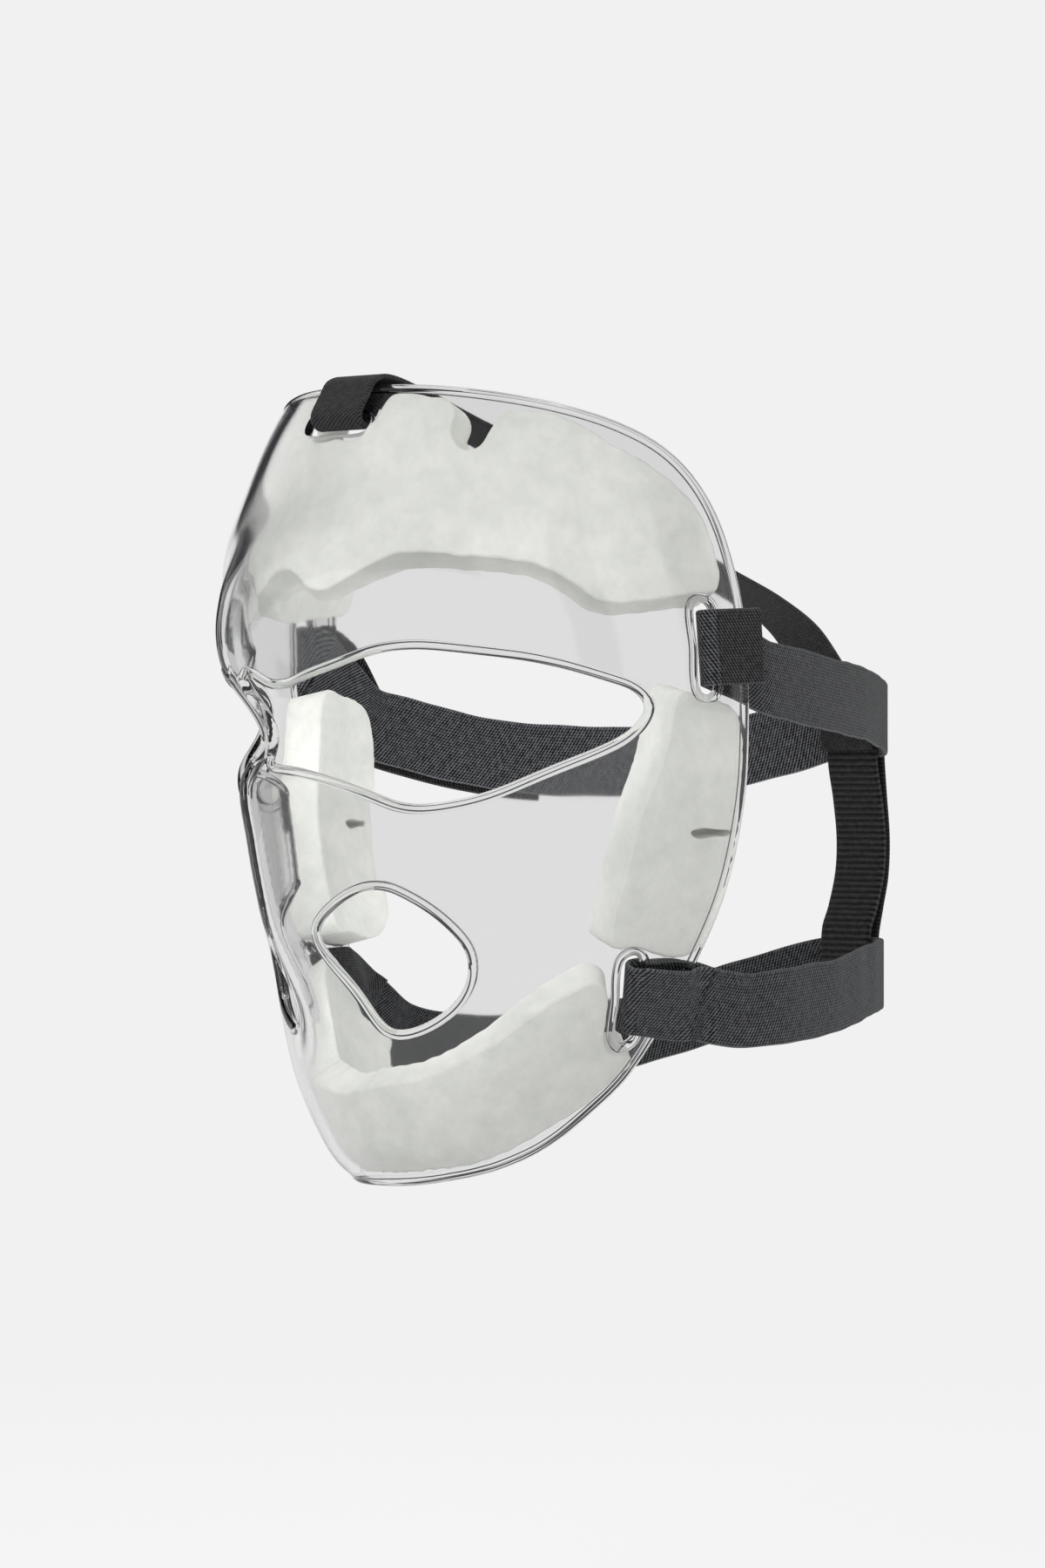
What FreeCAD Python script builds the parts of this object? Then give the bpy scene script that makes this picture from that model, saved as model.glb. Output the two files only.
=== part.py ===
import FreeCAD, Part
import math
import os

# Clear moulded sports face mask with bonded foam pads and an elastic strap harness.
# Front faces -Y, the wearer's left is +X, +Z is up. The origin lies midway between the upper strap slots.

os.makedirs("parts", exist_ok=True)
doc = FreeCAD.newDocument("face_mask")
sheet = doc.addObject("Spreadsheet::Sheet", "sizes")

# Driving dimensions in millimetres.
DIMENSIONS = {
    "mask_height": 250.0,
    "mask_width": 193.0,
    "face_depth": 100.0,
    "side_reach": 14.0,
    "nose_reach": 33.0,
    "nose_spread": 32.0,
    "wall": 3.0,
    "layer_gap": 0.1,
    "pad_gap": 0.5,
    "forehead_foam": 10.0,
    "cheek_foam": 12.0,
    "chin_foam": 10.0,
    "strap_width": 23.0,
    "strap_thickness": 1.6,
    "strap_clearance": 0.5,
    "inside_room": 1.2,
    "lower_rim_room": 2.5,
    "slot_width": 6.0,
    "slot_length": 28.0,
    "tail_gap": 0.8,
    "side_tail_length": 15.0,
    "hook_thickness": 0.8,
    "hook_margin": 2.0,
    "path_step": 4.0,
    "long_tail_length": 66.0,
    "tail_lead": 13.0,
    "tail_drop": 2.0,
    "back_reach": 153.2,
    "back_gap": 0.5,
    "webbing_thickness": 1.8,
    "back_elastic_width": 20.0,
    "turn_in_length": 9.0,
    "top_tail_length": 28.0,
    "top_tail_lead": 6.0,
    "stitch_box": 14.0,
    "stitch_thread": 0.5,
    "seam_width": 1.2,
    "seam_margin": 1.5,
    "seam_gap": 0.6,
    "seam_slant": 3.0,
    "seam_inset": 5.5,
    "tail_seam_inset": 10.0,
}

for row, (alias, value) in enumerate(DIMENSIONS.items(), start=1):
    sheet.set(f"A{row}", alias)
    sheet.set(f"B{row}", str(value))
    sheet.setAlias(f"B{row}", alias)
doc.recompute()


def size(alias):
    return float(getattr(sheet, alias))


HEIGHT = size("mask_height")
HALF_WIDTH = size("mask_width") / 2
DEPTH = size("face_depth")
WALL = size("wall")
STRAP = size("strap_width")
THICK = size("strap_thickness")
CLEAR = size("strap_clearance")
LAYER = size("layer_gap")
# A strap's half turn round a slot's bar stands further off the hollow inside than off the outside.
FOLD_DEPTH = (WALL + size("inside_room")) / 2
FOLD_RADIUS = FOLD_DEPTH + CLEAR + THICK / 2
INSIDE_DEPTH = WALL + size("inside_room") + CLEAR + THICK / 2
SECTION_POWER = 2.15
NOSE_POWER = 2.3
PAD_FOLLOW_SHARE = 0.5
NOSE = size("nose_reach")
SPREAD = size("nose_spread")
SIDE = size("side_reach")
BACK = size("back_reach")
# The straps, the webbing and the top strap lie in layers at the back.
TOP_LAYER = THICK + 2 * size("back_gap") + size("webbing_thickness")

# Shares up the mask: each row is (share of mask height, share of the size that the table shapes).
WIDTH_SHARES = [
    (-0.712, 0.25), (-0.672, 0.325), (-0.656, 0.373), (-0.636, 0.445), (-0.60, 0.525), (-0.56, 0.60),
    (-0.52, 0.667), (-0.46, 0.756), (-0.392, 0.845), (-0.312, 0.927), (-0.24, 0.974), (-0.14, 1.0),
    (0.0, 1.0), (0.116, 0.953), (0.20, 0.891), (0.268, 0.819), (0.368, 0.684),
]
FRONT_SHARES = [
    (-0.712, 0.40), (-0.672, 0.518), (-0.656, 0.572), (-0.634, 0.626), (-0.60, 0.668),
    (-0.56, 0.702), (-0.52, 0.722), (-0.46, 0.722), (-0.40, 0.712), (-0.32, 0.73), (-0.24, 0.76),
    (-0.12, 0.80), (0.0, 0.835), (0.10, 0.885), (0.20, 0.805), (0.268, 0.735), (0.32, 0.655),
    (0.368, 0.56),
]
NOSE_SHARES = [
    (-0.712, 0.0), (-0.60, 0.03), (-0.53, 0.09), (-0.45, 0.34), (-0.40, 0.62), (-0.36, 0.79),
    (-0.32, 0.88), (-0.24, 0.94), (-0.168, 0.94), (-0.112, 0.62), (-0.04, 0.97), (0.008, 1.0),
    (0.056, 0.80), (0.12, 0.38), (0.18, 0.10), (0.24, 0.0), (0.368, 0.0),
]
SPREAD_SHARES = [
    (-0.712, 0.70), (-0.60, 0.70), (-0.52, 0.60), (-0.44, 0.47), (-0.32, 0.41), (-0.20, 0.41),
    (-0.112, 0.50), (-0.032, 0.63), (0.04, 0.81), (0.12, 1.0), (0.368, 1.0),
]
# The rear rim seen from the side: (share of face depth, share of mask height), crown to chin.
RIM_SHARES = [
    (-0.60, 0.314), (-0.52, 0.306), (-0.36, 0.288), (-0.20, 0.262), (-0.10, 0.236), (-0.03, 0.204),
    (0.02, 0.164), (0.05, 0.12), (0.07, 0.072), (0.085, -0.048), (0.085, -0.172), (0.07, -0.24),
    (0.05, -0.312), (0.01, -0.392), (-0.05, -0.488), (-0.09, -0.532), (-0.15, -0.568),
    (-0.23, -0.608), (-0.34, -0.638), (-0.46, -0.656),
]
RIM_TOP_SHARE = 0.318
RIM_BOTTOM_SHARE = -0.662
# Outlines on the face: (share of the quarter turn from the middle to the side, share of mask height).
EYE_SHARES = [
    (0.030, -0.040), (0.053, -0.056), (0.078, -0.056), (0.103, -0.046), (0.136, -0.034),
    (0.188, -0.018), (0.26, -0.010), (0.34, -0.012), (0.42, -0.017), (0.50, -0.023), (0.60, -0.036),
    (0.68, -0.050), (0.725, -0.062), (0.741, -0.076), (0.73, -0.092), (0.67, -0.118),
    (0.578, -0.140), (0.50, -0.158), (0.44, -0.172), (0.38, -0.183), (0.32, -0.190), (0.25, -0.194),
    (0.19, -0.190), (0.146, -0.179), (0.097, -0.160), (0.062, -0.148), (0.040, -0.143),
    (0.026, -0.132), (0.021, -0.112), (0.021, -0.082), (0.022, -0.056),
]
CHEEK_OPENING_SHARES = [
    (0.076, -0.351), (0.091, -0.322), (0.124, -0.300), (0.185, -0.306), (0.255, -0.325),
    (0.321, -0.351), (0.364, -0.380), (0.371, -0.400), (0.355, -0.430), (0.318, -0.449),
    (0.256, -0.464), (0.194, -0.464), (0.151, -0.443), (0.122, -0.419), (0.089, -0.383),
]
FOREHEAD_PAD_SHARES = [
    (0.0, 0.256), (0.085, 0.257), (0.106, 0.270), (0.119, 0.287), (0.145, 0.300), (0.20, 0.303),
    (0.27, 0.301), (0.325, 0.296), (0.349, 0.287), (0.354, 0.274), (0.352, 0.261), (0.364, 0.248),
    (0.390, 0.241), (0.416, 0.246), (0.432, 0.260), (0.446, 0.273), (0.475, 0.283), (0.53, 0.286),
    (0.60, 0.281), (0.67, 0.265), (0.734, 0.244), (0.80, 0.223), (0.855, 0.199), (0.900, 0.170),
    (0.924, 0.135), (0.932, 0.102), (0.928, 0.075), (0.908, 0.061), (0.86, 0.056), (0.78, 0.048),
    (0.715, 0.043), (0.672, 0.049), (0.627, 0.067), (0.567, 0.088), (0.485, 0.098), (0.40, 0.102),
    (0.32, 0.107), (0.25, 0.099), (0.205, 0.082), (0.160, 0.060), (0.125, 0.046), (0.095, 0.050),
    (0.05, 0.076), (0.0, 0.086),
]
CHEEK_PAD_SHARES = [
    (0.815, -0.063), (0.85, -0.067), (0.885, -0.075), (0.915, -0.092), (0.938, -0.120), (0.947, -0.16),
    (0.944, -0.21), (0.930, -0.25), (0.895, -0.285), (0.865, -0.325), (0.845, -0.358), (0.810, -0.376),
    (0.76, -0.374), (0.718, -0.361), (0.704, -0.335), (0.706, -0.288), (0.728, -0.205), (0.762, -0.148),
    (0.79, -0.095), (0.798, -0.071),
]
CHIN_PAD_SHARES = [
    (0.0, -0.545), (0.08, -0.541), (0.19, -0.532), (0.282, -0.526), (0.36, -0.513), (0.423, -0.498),
    (0.512, -0.468), (0.572, -0.440), (0.635, -0.418), (0.680, -0.409), (0.720, -0.416), (0.742, -0.436),
    (0.755, -0.462), (0.775, -0.487), (0.808, -0.500), (0.838, -0.507), (0.842, -0.522), (0.82, -0.540),
    (0.775, -0.565), (0.715, -0.589), (0.648, -0.610), (0.565, -0.628), (0.46, -0.640), (0.32, -0.648),
    (0.16, -0.651), (0.0, -0.652),
]
# Slot places: (share of the quarter turn, share of mask height, tilt in degrees).
UPPER_SLOT_SHARES = (0.878, -0.006, 0.0)
LOWER_SLOT_SHARES = (0.782, -0.432, 16.0)
TOP_SLOT_SHARES = (0.0, 0.270)
# Free stretches of the side straps, from the shell's rim to the middle of the back:
# (share of half the mask width, share of the back reach, share of mask height).
UPPER_LEFT_SHARES = [
    (0.950, 0.13, -0.040), (0.930, 0.22, -0.047), (0.900, 0.34, -0.055), (0.862, 0.46, -0.061),
    (0.80, 0.60, -0.066), (0.785, 0.635, -0.067), (0.64, 0.715, -0.071), (0.47, 0.812, -0.076),
    (0.28, 0.918, -0.083), (0.20, 0.9655, -0.086), (0.15, 0.992, -0.088), (0.125, 0.9995, -0.088),
    (0.06, 1.0, -0.088), (0.004, 1.0, -0.088),
]
UPPER_RIGHT_SHARES = [
    (0.950, 0.13, -0.087), (0.930, 0.22, -0.104), (0.900, 0.34, -0.122), (0.862, 0.46, -0.134),
    (0.80, 0.60, -0.139), (0.785, 0.635, -0.139), (0.64, 0.715, -0.137), (0.47, 0.812, -0.128),
    (0.28, 0.918, -0.109), (0.20, 0.9655, -0.098), (0.15, 0.992, -0.092), (0.125, 0.9995, -0.0895),
    (0.06, 1.0, -0.088), (0.004, 1.0, -0.088),
]
LOWER_LEFT_SHARES = [
    (0.826, 0.026, -0.436), (0.838, 0.070, -0.441), (0.853, 0.135, -0.446), (0.865, 0.22, -0.4425),
    (0.835, 0.33, -0.4375), (0.765, 0.45, -0.432), (0.645, 0.59, -0.4225), (0.505, 0.72, -0.417),
    (0.37, 0.825, -0.415), (0.245, 0.915, -0.415), (0.18, 0.953, -0.416), (0.12, 0.976, -0.416),
    (0.06, 0.980, -0.416), (0.004, 0.980, -0.416),
]
LOWER_RIGHT_SHARES = [
    (0.832, 0.026, -0.440), (0.842, 0.070, -0.458), (0.853, 0.135, -0.484), (0.865, 0.22, -0.505),
    (0.835, 0.33, -0.516), (0.765, 0.45, -0.518), (0.645, 0.59, -0.508), (0.505, 0.72, -0.485),
    (0.37, 0.825, -0.457), (0.245, 0.915, -0.434), (0.18, 0.953, -0.424), (0.12, 0.976, -0.4175),
    (0.06, 0.980, -0.416), (0.004, 0.980, -0.416),
]
# The top strap from the back to the crown: (share of the way from the crown's rim, share of mask height).
TOP_STRAP_SHARES = [
    (0.998, -0.125), (0.991, -0.088), (0.966, -0.055), (0.932, -0.012), (0.879, 0.034), (0.800, 0.070),
    (0.686, 0.108), (0.557, 0.156), (0.415, 0.208), (0.272, 0.254), (0.143, 0.293), (0.065, 0.3175),
    (0.0175, 0.3265),
]
# Where the top strap climbs over the rim, and where its tail lies under the shell:
# (share of mask height, share of the depth at which a strap runs inside the shell).
TOP_RISE_SHARES = (0.3175, 0.305, 0.293)
TOP_TAIL_SHARES = [(0.303, 1.0), (0.3185, 1.27)]
# Webbing and elastic down the back: (share of the back reach, share of mask height).
WEBBING_SHARES = [
    (0.992, -0.045), (1.0, -0.088), (1.0, -0.142), (1.015, -0.188), (1.026, -0.24), (1.022, -0.285),
    (1.001, -0.33), (0.981, -0.360), (0.977, -0.416), (0.977, -0.465),
]
BACK_ELASTIC_SHARES = [
    (1.0, -0.045), (1.0, -0.088), (1.0, -0.13), (1.006, -0.175), (1.016, -0.24), (1.012, -0.29),
    (0.997, -0.33), (0.983, -0.37), (0.981, -0.416), (0.981, -0.46),
]
UPPER_JUNCTION_SHARES = (1.0, -0.088)
LOWER_JUNCTION_SHARES = (0.9812, -0.416)
# Where the side straps cross the rim: shares of face depth, then of mask height.
UPPER_RIM_SHARE = 0.083
UPPER_LEFT_RIM_SHARE = -0.022
UPPER_RIGHT_RIM_SHARE = -0.044
LOWER_RIM_SHARE = -0.012
TAIL_STEP_SHARES = (0.0, 0.3, 0.6, 1.0)
SEAM_STEP_SHARES = (-1.0, -0.3, 0.3, 1.0)
# Grids of the face surface: (lines across, lines up). The whole face has more lines near the nose.
FACE_LINES = (64, 64)
PAD_LINES = (32, 24)
SIDE_LIMIT_SHARE = 0.985
FACE_RANGE_SHARES = (-SIDE_LIMIT_SHARE, SIDE_LIMIT_SHARE, -0.704, 0.36)
PAD_MARGIN_SHARE = 0.012
POINTS_PER_EDGE = 4
SLOPE_STEP_SHARE = 0.002
SLOT_STEP_SHARE = 0.01
HALVINGS = 40
QUARTER_DEGREES = (0, 45, 90, 135, 180)
FOLD_DEGREES = (-90, -60, -30, 0, 30, 60, 90)
UPRIGHT = FreeCAD.Vector(0, 0, 1)
SIDEWAYS = FreeCAD.Vector(1, 0, 0)
pieces = []


def blend_shares(table, share):
    """Smooth curve through the rows of a table, read at one share."""
    last = len(table) - 2
    index = 0
    while index < last and share >= table[index + 1][0]:
        index += 1
    low, high = table[index], table[index + 1]
    before = table[max(index - 1, 0)]
    after = table[min(index + 2, len(table) - 1)]
    span = high[0] - low[0]
    slope_low = (high[1] - before[1]) / (high[0] - before[0]) * span
    slope_high = (after[1] - low[1]) / (after[0] - low[0]) * span
    step = (share - low[0]) / span
    square, cube = step**2, step**3
    return (
        (2 * cube - 3 * square + 1) * low[1]
        + (cube - 2 * square + step) * slope_low
        + (3 * square - 2 * cube) * high[1]
        + (cube - square) * slope_high
    )


def face_point(across, up, follow=1.0):
    """Point of the outer face; across is a share of the quarter turn, up a share of mask height."""
    sine = math.sin(across * math.pi / 2)
    half = HALF_WIDTH * blend_shares(WIDTH_SHARES, up)
    front = DEPTH * blend_shares(FRONT_SHARES, up)
    nose = NOSE * blend_shares(NOSE_SHARES, up) * follow
    spread = SPREAD * blend_shares(SPREAD_SHARES, up)
    bow = max(1 - abs(sine) ** SECTION_POWER, 0) ** (1 / SECTION_POWER)
    side = half * sine
    back = SIDE - (SIDE + front) * bow
    back -= nose * math.exp(-((abs(side) / spread) ** NOSE_POWER))
    return FreeCAD.Vector(side, back, HEIGHT * up)


def face_normal(across, up, follow=1.0):
    """Unit vector out of the face, away from the wearer."""
    low = max(across - SLOPE_STEP_SHARE, -SIDE_LIMIT_SHARE)
    high = min(across + SLOPE_STEP_SHARE, SIDE_LIMIT_SHARE)
    along = face_point(high, up, follow) - face_point(low, up, follow)
    above, below = up + SLOPE_STEP_SHARE, up - SLOPE_STEP_SHARE
    rise = face_point(across, above, follow) - face_point(across, below, follow)
    normal = along.cross(rise)
    normal.normalize()
    return normal


def offset_point(across, up, offset, follow=1.0):
    return face_point(across, up, follow) + face_normal(across, up, follow) * offset


def grid_share(low, high, step):
    """Share between two limits, crowded towards the middle line where the range spans it."""
    if low < 0 < high:
        spread = 2 * step - 1
        return high * (spread + spread**3) / 2
    return low + (high - low) * step


def face_surface(depth, follow, limits, lines):
    """Spline surface of the face between limits in shares, moved in from the outer face by a depth."""
    left, right, bottom, top = limits
    across_lines, up_lines = lines
    rows = []
    for i in range(across_lines + 1):
        across = grid_share(left, right, i / across_lines)
        row = []
        for j in range(up_lines + 1):
            up = bottom + (top - bottom) * j / up_lines
            row.append(offset_point(across, up, -depth, follow))
        rows.append(row)
    surface = Part.BSplineSurface()
    surface.interpolate(rows)
    return surface


def outline_wire(surface, points):
    """Closed smooth wire on a surface through points that lie on or near it, in several edges."""
    flat = [FreeCAD.Base.Vector2d(*surface.parameter(point)) for point in points]
    curve = Part.Geom2d.BSplineCurve2d()
    curve.interpolate(Points=flat, PeriodicFlag=True)
    first, last = curve.FirstParameter, curve.LastParameter
    count = max(len(points) // POINTS_PER_EDGE, 2)
    ends = [first + (last - first) * part / count for part in range(count + 1)]
    return Part.Wire([curve.toShape(surface, low, high) for low, high in zip(ends, ends[1:])])


def trimmed_face(surface, outline, holes=()):
    """Face on a surface inside one outline, without the holes."""
    face = Part.Face(surface, outline_wire(surface, outline))
    face.validate()
    for hole in holes:
        plug = Part.Face(surface, outline_wire(surface, hole))
        plug.validate()
        face = face.cut(plug).Faces[0]
    return face


def thick_piece(name, face, alias):
    """Solid of one named piece: a face given a thickness that the sheet holds, towards the wearer."""
    base = doc.addObject("Part::Feature", f"{name}_face")
    base.Shape = face
    piece = doc.addObject("Part::Offset", name)
    piece.Label = name
    piece.Source = base
    piece.Fill = True
    piece.setExpression("Value", f"-sizes.{alias}")
    pieces.append(piece)


def mirror_points(points):
    return [FreeCAD.Vector(-point.x, point.y, point.z) for point in points]


def sided(points, side):
    return points if side > 0 else mirror_points(points)


def across_at(depth_share, up):
    """Share of the quarter turn at which the face reaches a depth, found by halving."""
    low, high = 0.0, SIDE_LIMIT_SHARE
    for _ in range(HALVINGS):
        middle = (low + high) / 2
        if face_point(middle, up).y < depth_share * DEPTH:
            low = middle
        else:
            high = middle
    return low


def rim_outline():
    """The outer edge of the mask, right round."""
    left = [face_point(across_at(depth, up), up) for depth, up in RIM_SHARES]
    crown = face_point(0.0, RIM_TOP_SHARE)
    chin = face_point(0.0, RIM_BOTTOM_SHARE)
    return [crown] + left + [chin] + mirror_points(left)[::-1]


def share_outline(shares, depth=0.0, follow=1.0):
    return [offset_point(across, up, -depth, follow) for across, up in shares]


def both_halves(points):
    """Closed outline from its left half, whose first and last points are on the middle line."""
    return points + mirror_points(points[1:-1])[::-1]


def slot_outline(across, up, tilt, width, length):
    """Slot with round ends, laid on the face about its centre."""
    radius = width / 2
    straight = length / 2 - radius
    lean = math.radians(tilt)
    centre = face_point(across, up)
    along = (face_point(across + SLOPE_STEP_SHARE, up) - centre).Length / SLOPE_STEP_SHARE
    points = []
    for end in (1, -1):
        for degrees in QUARTER_DEGREES:
            turn = math.radians(degrees)
            side = end * radius * math.cos(turn)
            rise = end * (straight + radius * math.sin(turn))
            points.append((side, rise))
        points.append((-end * radius, 0.0))
    laid = []
    for side, rise in points:
        shifted = side * math.cos(lean) - rise * math.sin(lean)
        raised = side * math.sin(lean) + rise * math.cos(lean)
        laid.append(face_point(across + shifted / along, up + raised / HEIGHT))
    return laid


def top_slot_outline():
    """Slot that lies across the middle of the forehead."""
    across, up = TOP_SLOT_SHARES
    radius = size("slot_width") / 2
    straight = size("slot_length") / 2 - radius
    centre = face_point(across, up)
    along = (face_point(across + SLOPE_STEP_SHARE, up) - centre).Length / SLOPE_STEP_SHARE
    points = []
    for end in (1, -1):
        for degrees in QUARTER_DEGREES:
            turn = math.radians(degrees)
            side = end * (straight + radius * math.sin(turn))
            rise = -end * radius * math.cos(turn)
            points.append(face_point(across + side / along, up + rise / HEIGHT))
        points.append(face_point(across, up + end * radius / HEIGHT))
    return points


def make_shell():
    """Clear moulded shell with eye and cheek openings and five strap slots."""
    width, length = size("slot_width"), size("slot_length")
    upper = slot_outline(*UPPER_SLOT_SHARES, width, length)
    lower = slot_outline(*LOWER_SLOT_SHARES, width, length)
    eye = share_outline(EYE_SHARES)
    cheek = share_outline(CHEEK_OPENING_SHARES)
    holes = [top_slot_outline()]
    for side in (1, -1):
        holes += [sided(points, side) for points in (upper, lower, eye, cheek)]
    surface = face_surface(0.0, 1.0, FACE_RANGE_SHARES, FACE_LINES)
    thick_piece("shell", trimmed_face(surface, rim_outline(), holes), "wall")


def make_pad(name, shares, alias, side=0):
    """Foam pad bonded to the inside of the shell."""
    depth = WALL + size("pad_gap")
    left = min(across for across, up in shares) - PAD_MARGIN_SHARE
    right = max(across for across, up in shares) + PAD_MARGIN_SHARE
    bottom = min(up for across, up in shares) - PAD_MARGIN_SHARE
    top = max(up for across, up in shares) + PAD_MARGIN_SHARE
    if side == 0:
        left = -right
    elif side < 0:
        left, right = -right, -left
    surface = face_surface(depth, PAD_FOLLOW_SHARE, (left, right, bottom, top), PAD_LINES)
    points = share_outline(shares, depth, PAD_FOLLOW_SHARE)
    points = sided(points, side) if side else both_halves(points)
    thick_piece(name, trimmed_face(surface, points), alias)


def make_pads():
    make_pad("forehead_pad", FOREHEAD_PAD_SHARES, "forehead_foam")
    make_pad("left_cheek_pad", CHEEK_PAD_SHARES, "cheek_foam", 1)
    make_pad("right_cheek_pad", CHEEK_PAD_SHARES, "cheek_foam", -1)
    make_pad("chin_pad", CHIN_PAD_SHARES, "chin_foam")


def even_path(path):
    """Path with points close enough together that a spline through them can't swing out."""
    points = [point for point, _ in path]
    last = len(points) - 1
    spans = [(points[i + 1] - points[i]).Length for i in range(last)]
    slopes = []
    for i in range(last + 1):
        low, high = max(i - 1, 0), min(i + 1, last)
        slopes.append((points[high] - points[low]) / sum(spans[low:high]))
    even = []
    for i in range(last):
        parts = math.ceil(spans[i] / size("path_step"))
        for part in range(parts):
            step = part / parts
            square, cube = step**2, step**3
            point = points[i] * (2 * cube - 3 * square + 1) + points[i + 1] * (3 * square - 2 * cube)
            point += slopes[i] * (spans[i] * (cube - 2 * square + step))
            point += slopes[i + 1] * (spans[i] * (cube - square))
            direction = path[i][1] * (1 - step) + path[i + 1][1] * step
            direction.normalize()
            even.append((point, direction))
    return even + [path[-1]]


def path_start(path, length):
    """The first points of a path, up to a length along it."""
    start = [path[0]]
    covered = 0.0
    for before, after in zip(path, path[1:]):
        covered += (after[0] - before[0]).Length
        if covered > length:
            break
        start.append(after)
    return start


def path_rest(path, length):
    """The points of a path that lie beyond a length along it."""
    return path[len(path_start(path, length)):]


def path_frames(path):
    """Centre, width direction and normal at each point of a strap path."""
    frames = []
    for index, (centre, direction) in enumerate(path):
        before = path[max(index - 1, 0)][0]
        after = path[min(index + 1, len(path) - 1)][0]
        along = (after - before).normalize()
        direction = (direction - along * direction.dot(along)).normalize()
        frames.append((centre, direction, along.cross(direction)))
    return frames


def ruled_face(low, high):
    """Face ruled between two splines that share their knots."""
    surface = Part.BSplineSurface()
    surface.buildFromPolesMultsKnots(
        [low.getPoles(), high.getPoles()], [2, 2], low.getMultiplicities(), [0, 1], low.getKnots(),
        False, False, 1, low.Degree,
    )
    return surface.toShape()


def band(name, path, width, thickness, sink=0.0):
    """Strap about its path: four ruled faces between its long edges and two flat ends."""
    path = even_path(path)
    lengths = [0.0]
    for (start, _), (end, _) in zip(path, path[1:]):
        lengths.append(lengths[-1] + (end - start).Length)
    frames = path_frames(path)
    edges = []
    for side, rise in ((-1, -1), (1, -1), (1, 1), (-1, 1)):
        points = []
        for centre, direction, normal in frames:
            level = rise * thickness / 2 + sink
            points.append(centre + direction * (side * width / 2) + normal * level)
        curve = Part.BSplineCurve()
        curve.interpolate(Points=points, Parameters=lengths)
        edges.append(curve)
    faces = [ruled_face(edges[i - 1], edges[i]) for i in range(4)]
    for end in (lengths[0], lengths[-1]):
        corners = [edge.value(end) for edge in edges]
        faces.append(Part.makeFilledFace(Part.makePolygon(corners + corners[:1]).Edges))
    shell = Part.Shell([part for face in faces for part in face.Faces])
    shell.sewShape()
    solid = Part.Solid(shell)
    if solid.Volume < 0:
        solid.reverse()
    piece = doc.addObject("Part::Feature", name)
    piece.Label = name
    piece.Shape = solid
    pieces.append(piece)


def side_fold(slot):
    """Half turn of a strap round the bar behind a side slot, from inside the shell to outside."""
    across, up, _ = slot
    direction = slot_direction(slot)
    forward = face_point(across - SLOT_STEP_SHARE, up) - face_point(across, up)
    forward -= direction * forward.dot(direction)
    forward.normalize()
    normal = direction.cross(forward)
    normal.normalize()
    middle = face_point(across, up) - forward * (size("slot_width") / 2) - normal * FOLD_DEPTH
    turn = []
    for degrees in FOLD_DEGREES:
        angle = math.radians(degrees)
        ahead, out = FOLD_RADIUS * math.cos(angle), FOLD_RADIUS * math.sin(angle)
        turn.append(middle + forward * ahead + normal * out)
    return turn, forward, direction


def route_points(shares):
    """Free stretch of a strap from shares of half the width, the back reach and the height."""
    return [FreeCAD.Vector(HALF_WIDTH * across, BACK * back, HEIGHT * up) for across, back, up in shares]


def slot_direction(slot):
    """Direction along a side slot, up the face."""
    across, up, tilt = slot
    rise = face_point(across, up + SLOT_STEP_SHARE) - face_point(across, up - SLOT_STEP_SHARE)
    rise.normalize()
    forward = face_point(across - SLOT_STEP_SHARE, up) - face_point(across, up)
    forward.normalize()
    lean = math.radians(tilt)
    direction = rise * math.cos(lean) + forward * math.sin(lean)
    direction.normalize()
    return direction


def mirrored_path(path, side):
    if side > 0:
        return path
    flipped = []
    for centre, direction in path:
        moved = FreeCAD.Vector(-centre.x, centre.y, centre.z)
        turned = FreeCAD.Vector(-direction.x, direction.y, direction.z)
        flipped.append((moved, turned))
    return flipped


def free_path(shares, direction):
    """Free stretch of a side strap from the back to the rim, upright until it nears its slot."""
    points = route_points(shares)[::-1]
    path = [(point, UPRIGHT) for point in points]
    path[-1] = (points[-1], (UPRIGHT + direction).normalize())
    return path


def rim_point(depth_share, up, offset):
    """Point beside the rim of one side, outside the shell or, with a minus, inside it."""
    return offset_point(across_at(depth_share, up), up, offset)


def following_path(path, lift, drop):
    """Path beside another one, lifted along its normals and dropped a little."""
    moved = []
    for centre, direction, normal in path_frames(path):
        moved.append((centre + normal * lift - direction * drop, direction))
    return moved


def frame_at(path, length):
    """Centre, width direction and normal at a length along a path."""
    frames = path_frames(path)
    covered = 0.0
    for low, high in zip(frames, frames[1:]):
        span = (high[0] - low[0]).Length
        if covered + span >= length:
            break
        covered += span
    share = (length - covered) / span
    return [start * (1 - share) + end * share for start, end in zip(low, high)]


def seam(name, path, place, side):
    """Row of stitches across a strap about a place on its path, leaning along it towards one edge."""
    reach = STRAP / 2 - size("seam_margin")
    lift = THICK / 2 + size("seam_gap") + size("stitch_thread") / 2
    row = []
    for share in SEAM_STEP_SHARES:
        centre, direction, normal = frame_at(path, place + size("seam_slant") * share)
        row.append((centre + direction * (reach * share) + normal * lift, normal.cross(direction)))
    band(name, mirrored_path(row, side), size("seam_width"), size("stitch_thread"))


def make_hooks(name, path, side):
    """Hook patch on the inner face of a tail."""
    hook = size("hook_thickness")
    sink = -side * (THICK / 2 + LAYER + hook / 2)
    band(name, mirrored_path(path, side), STRAP - 2 * size("hook_margin"), hook, sink)


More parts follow.
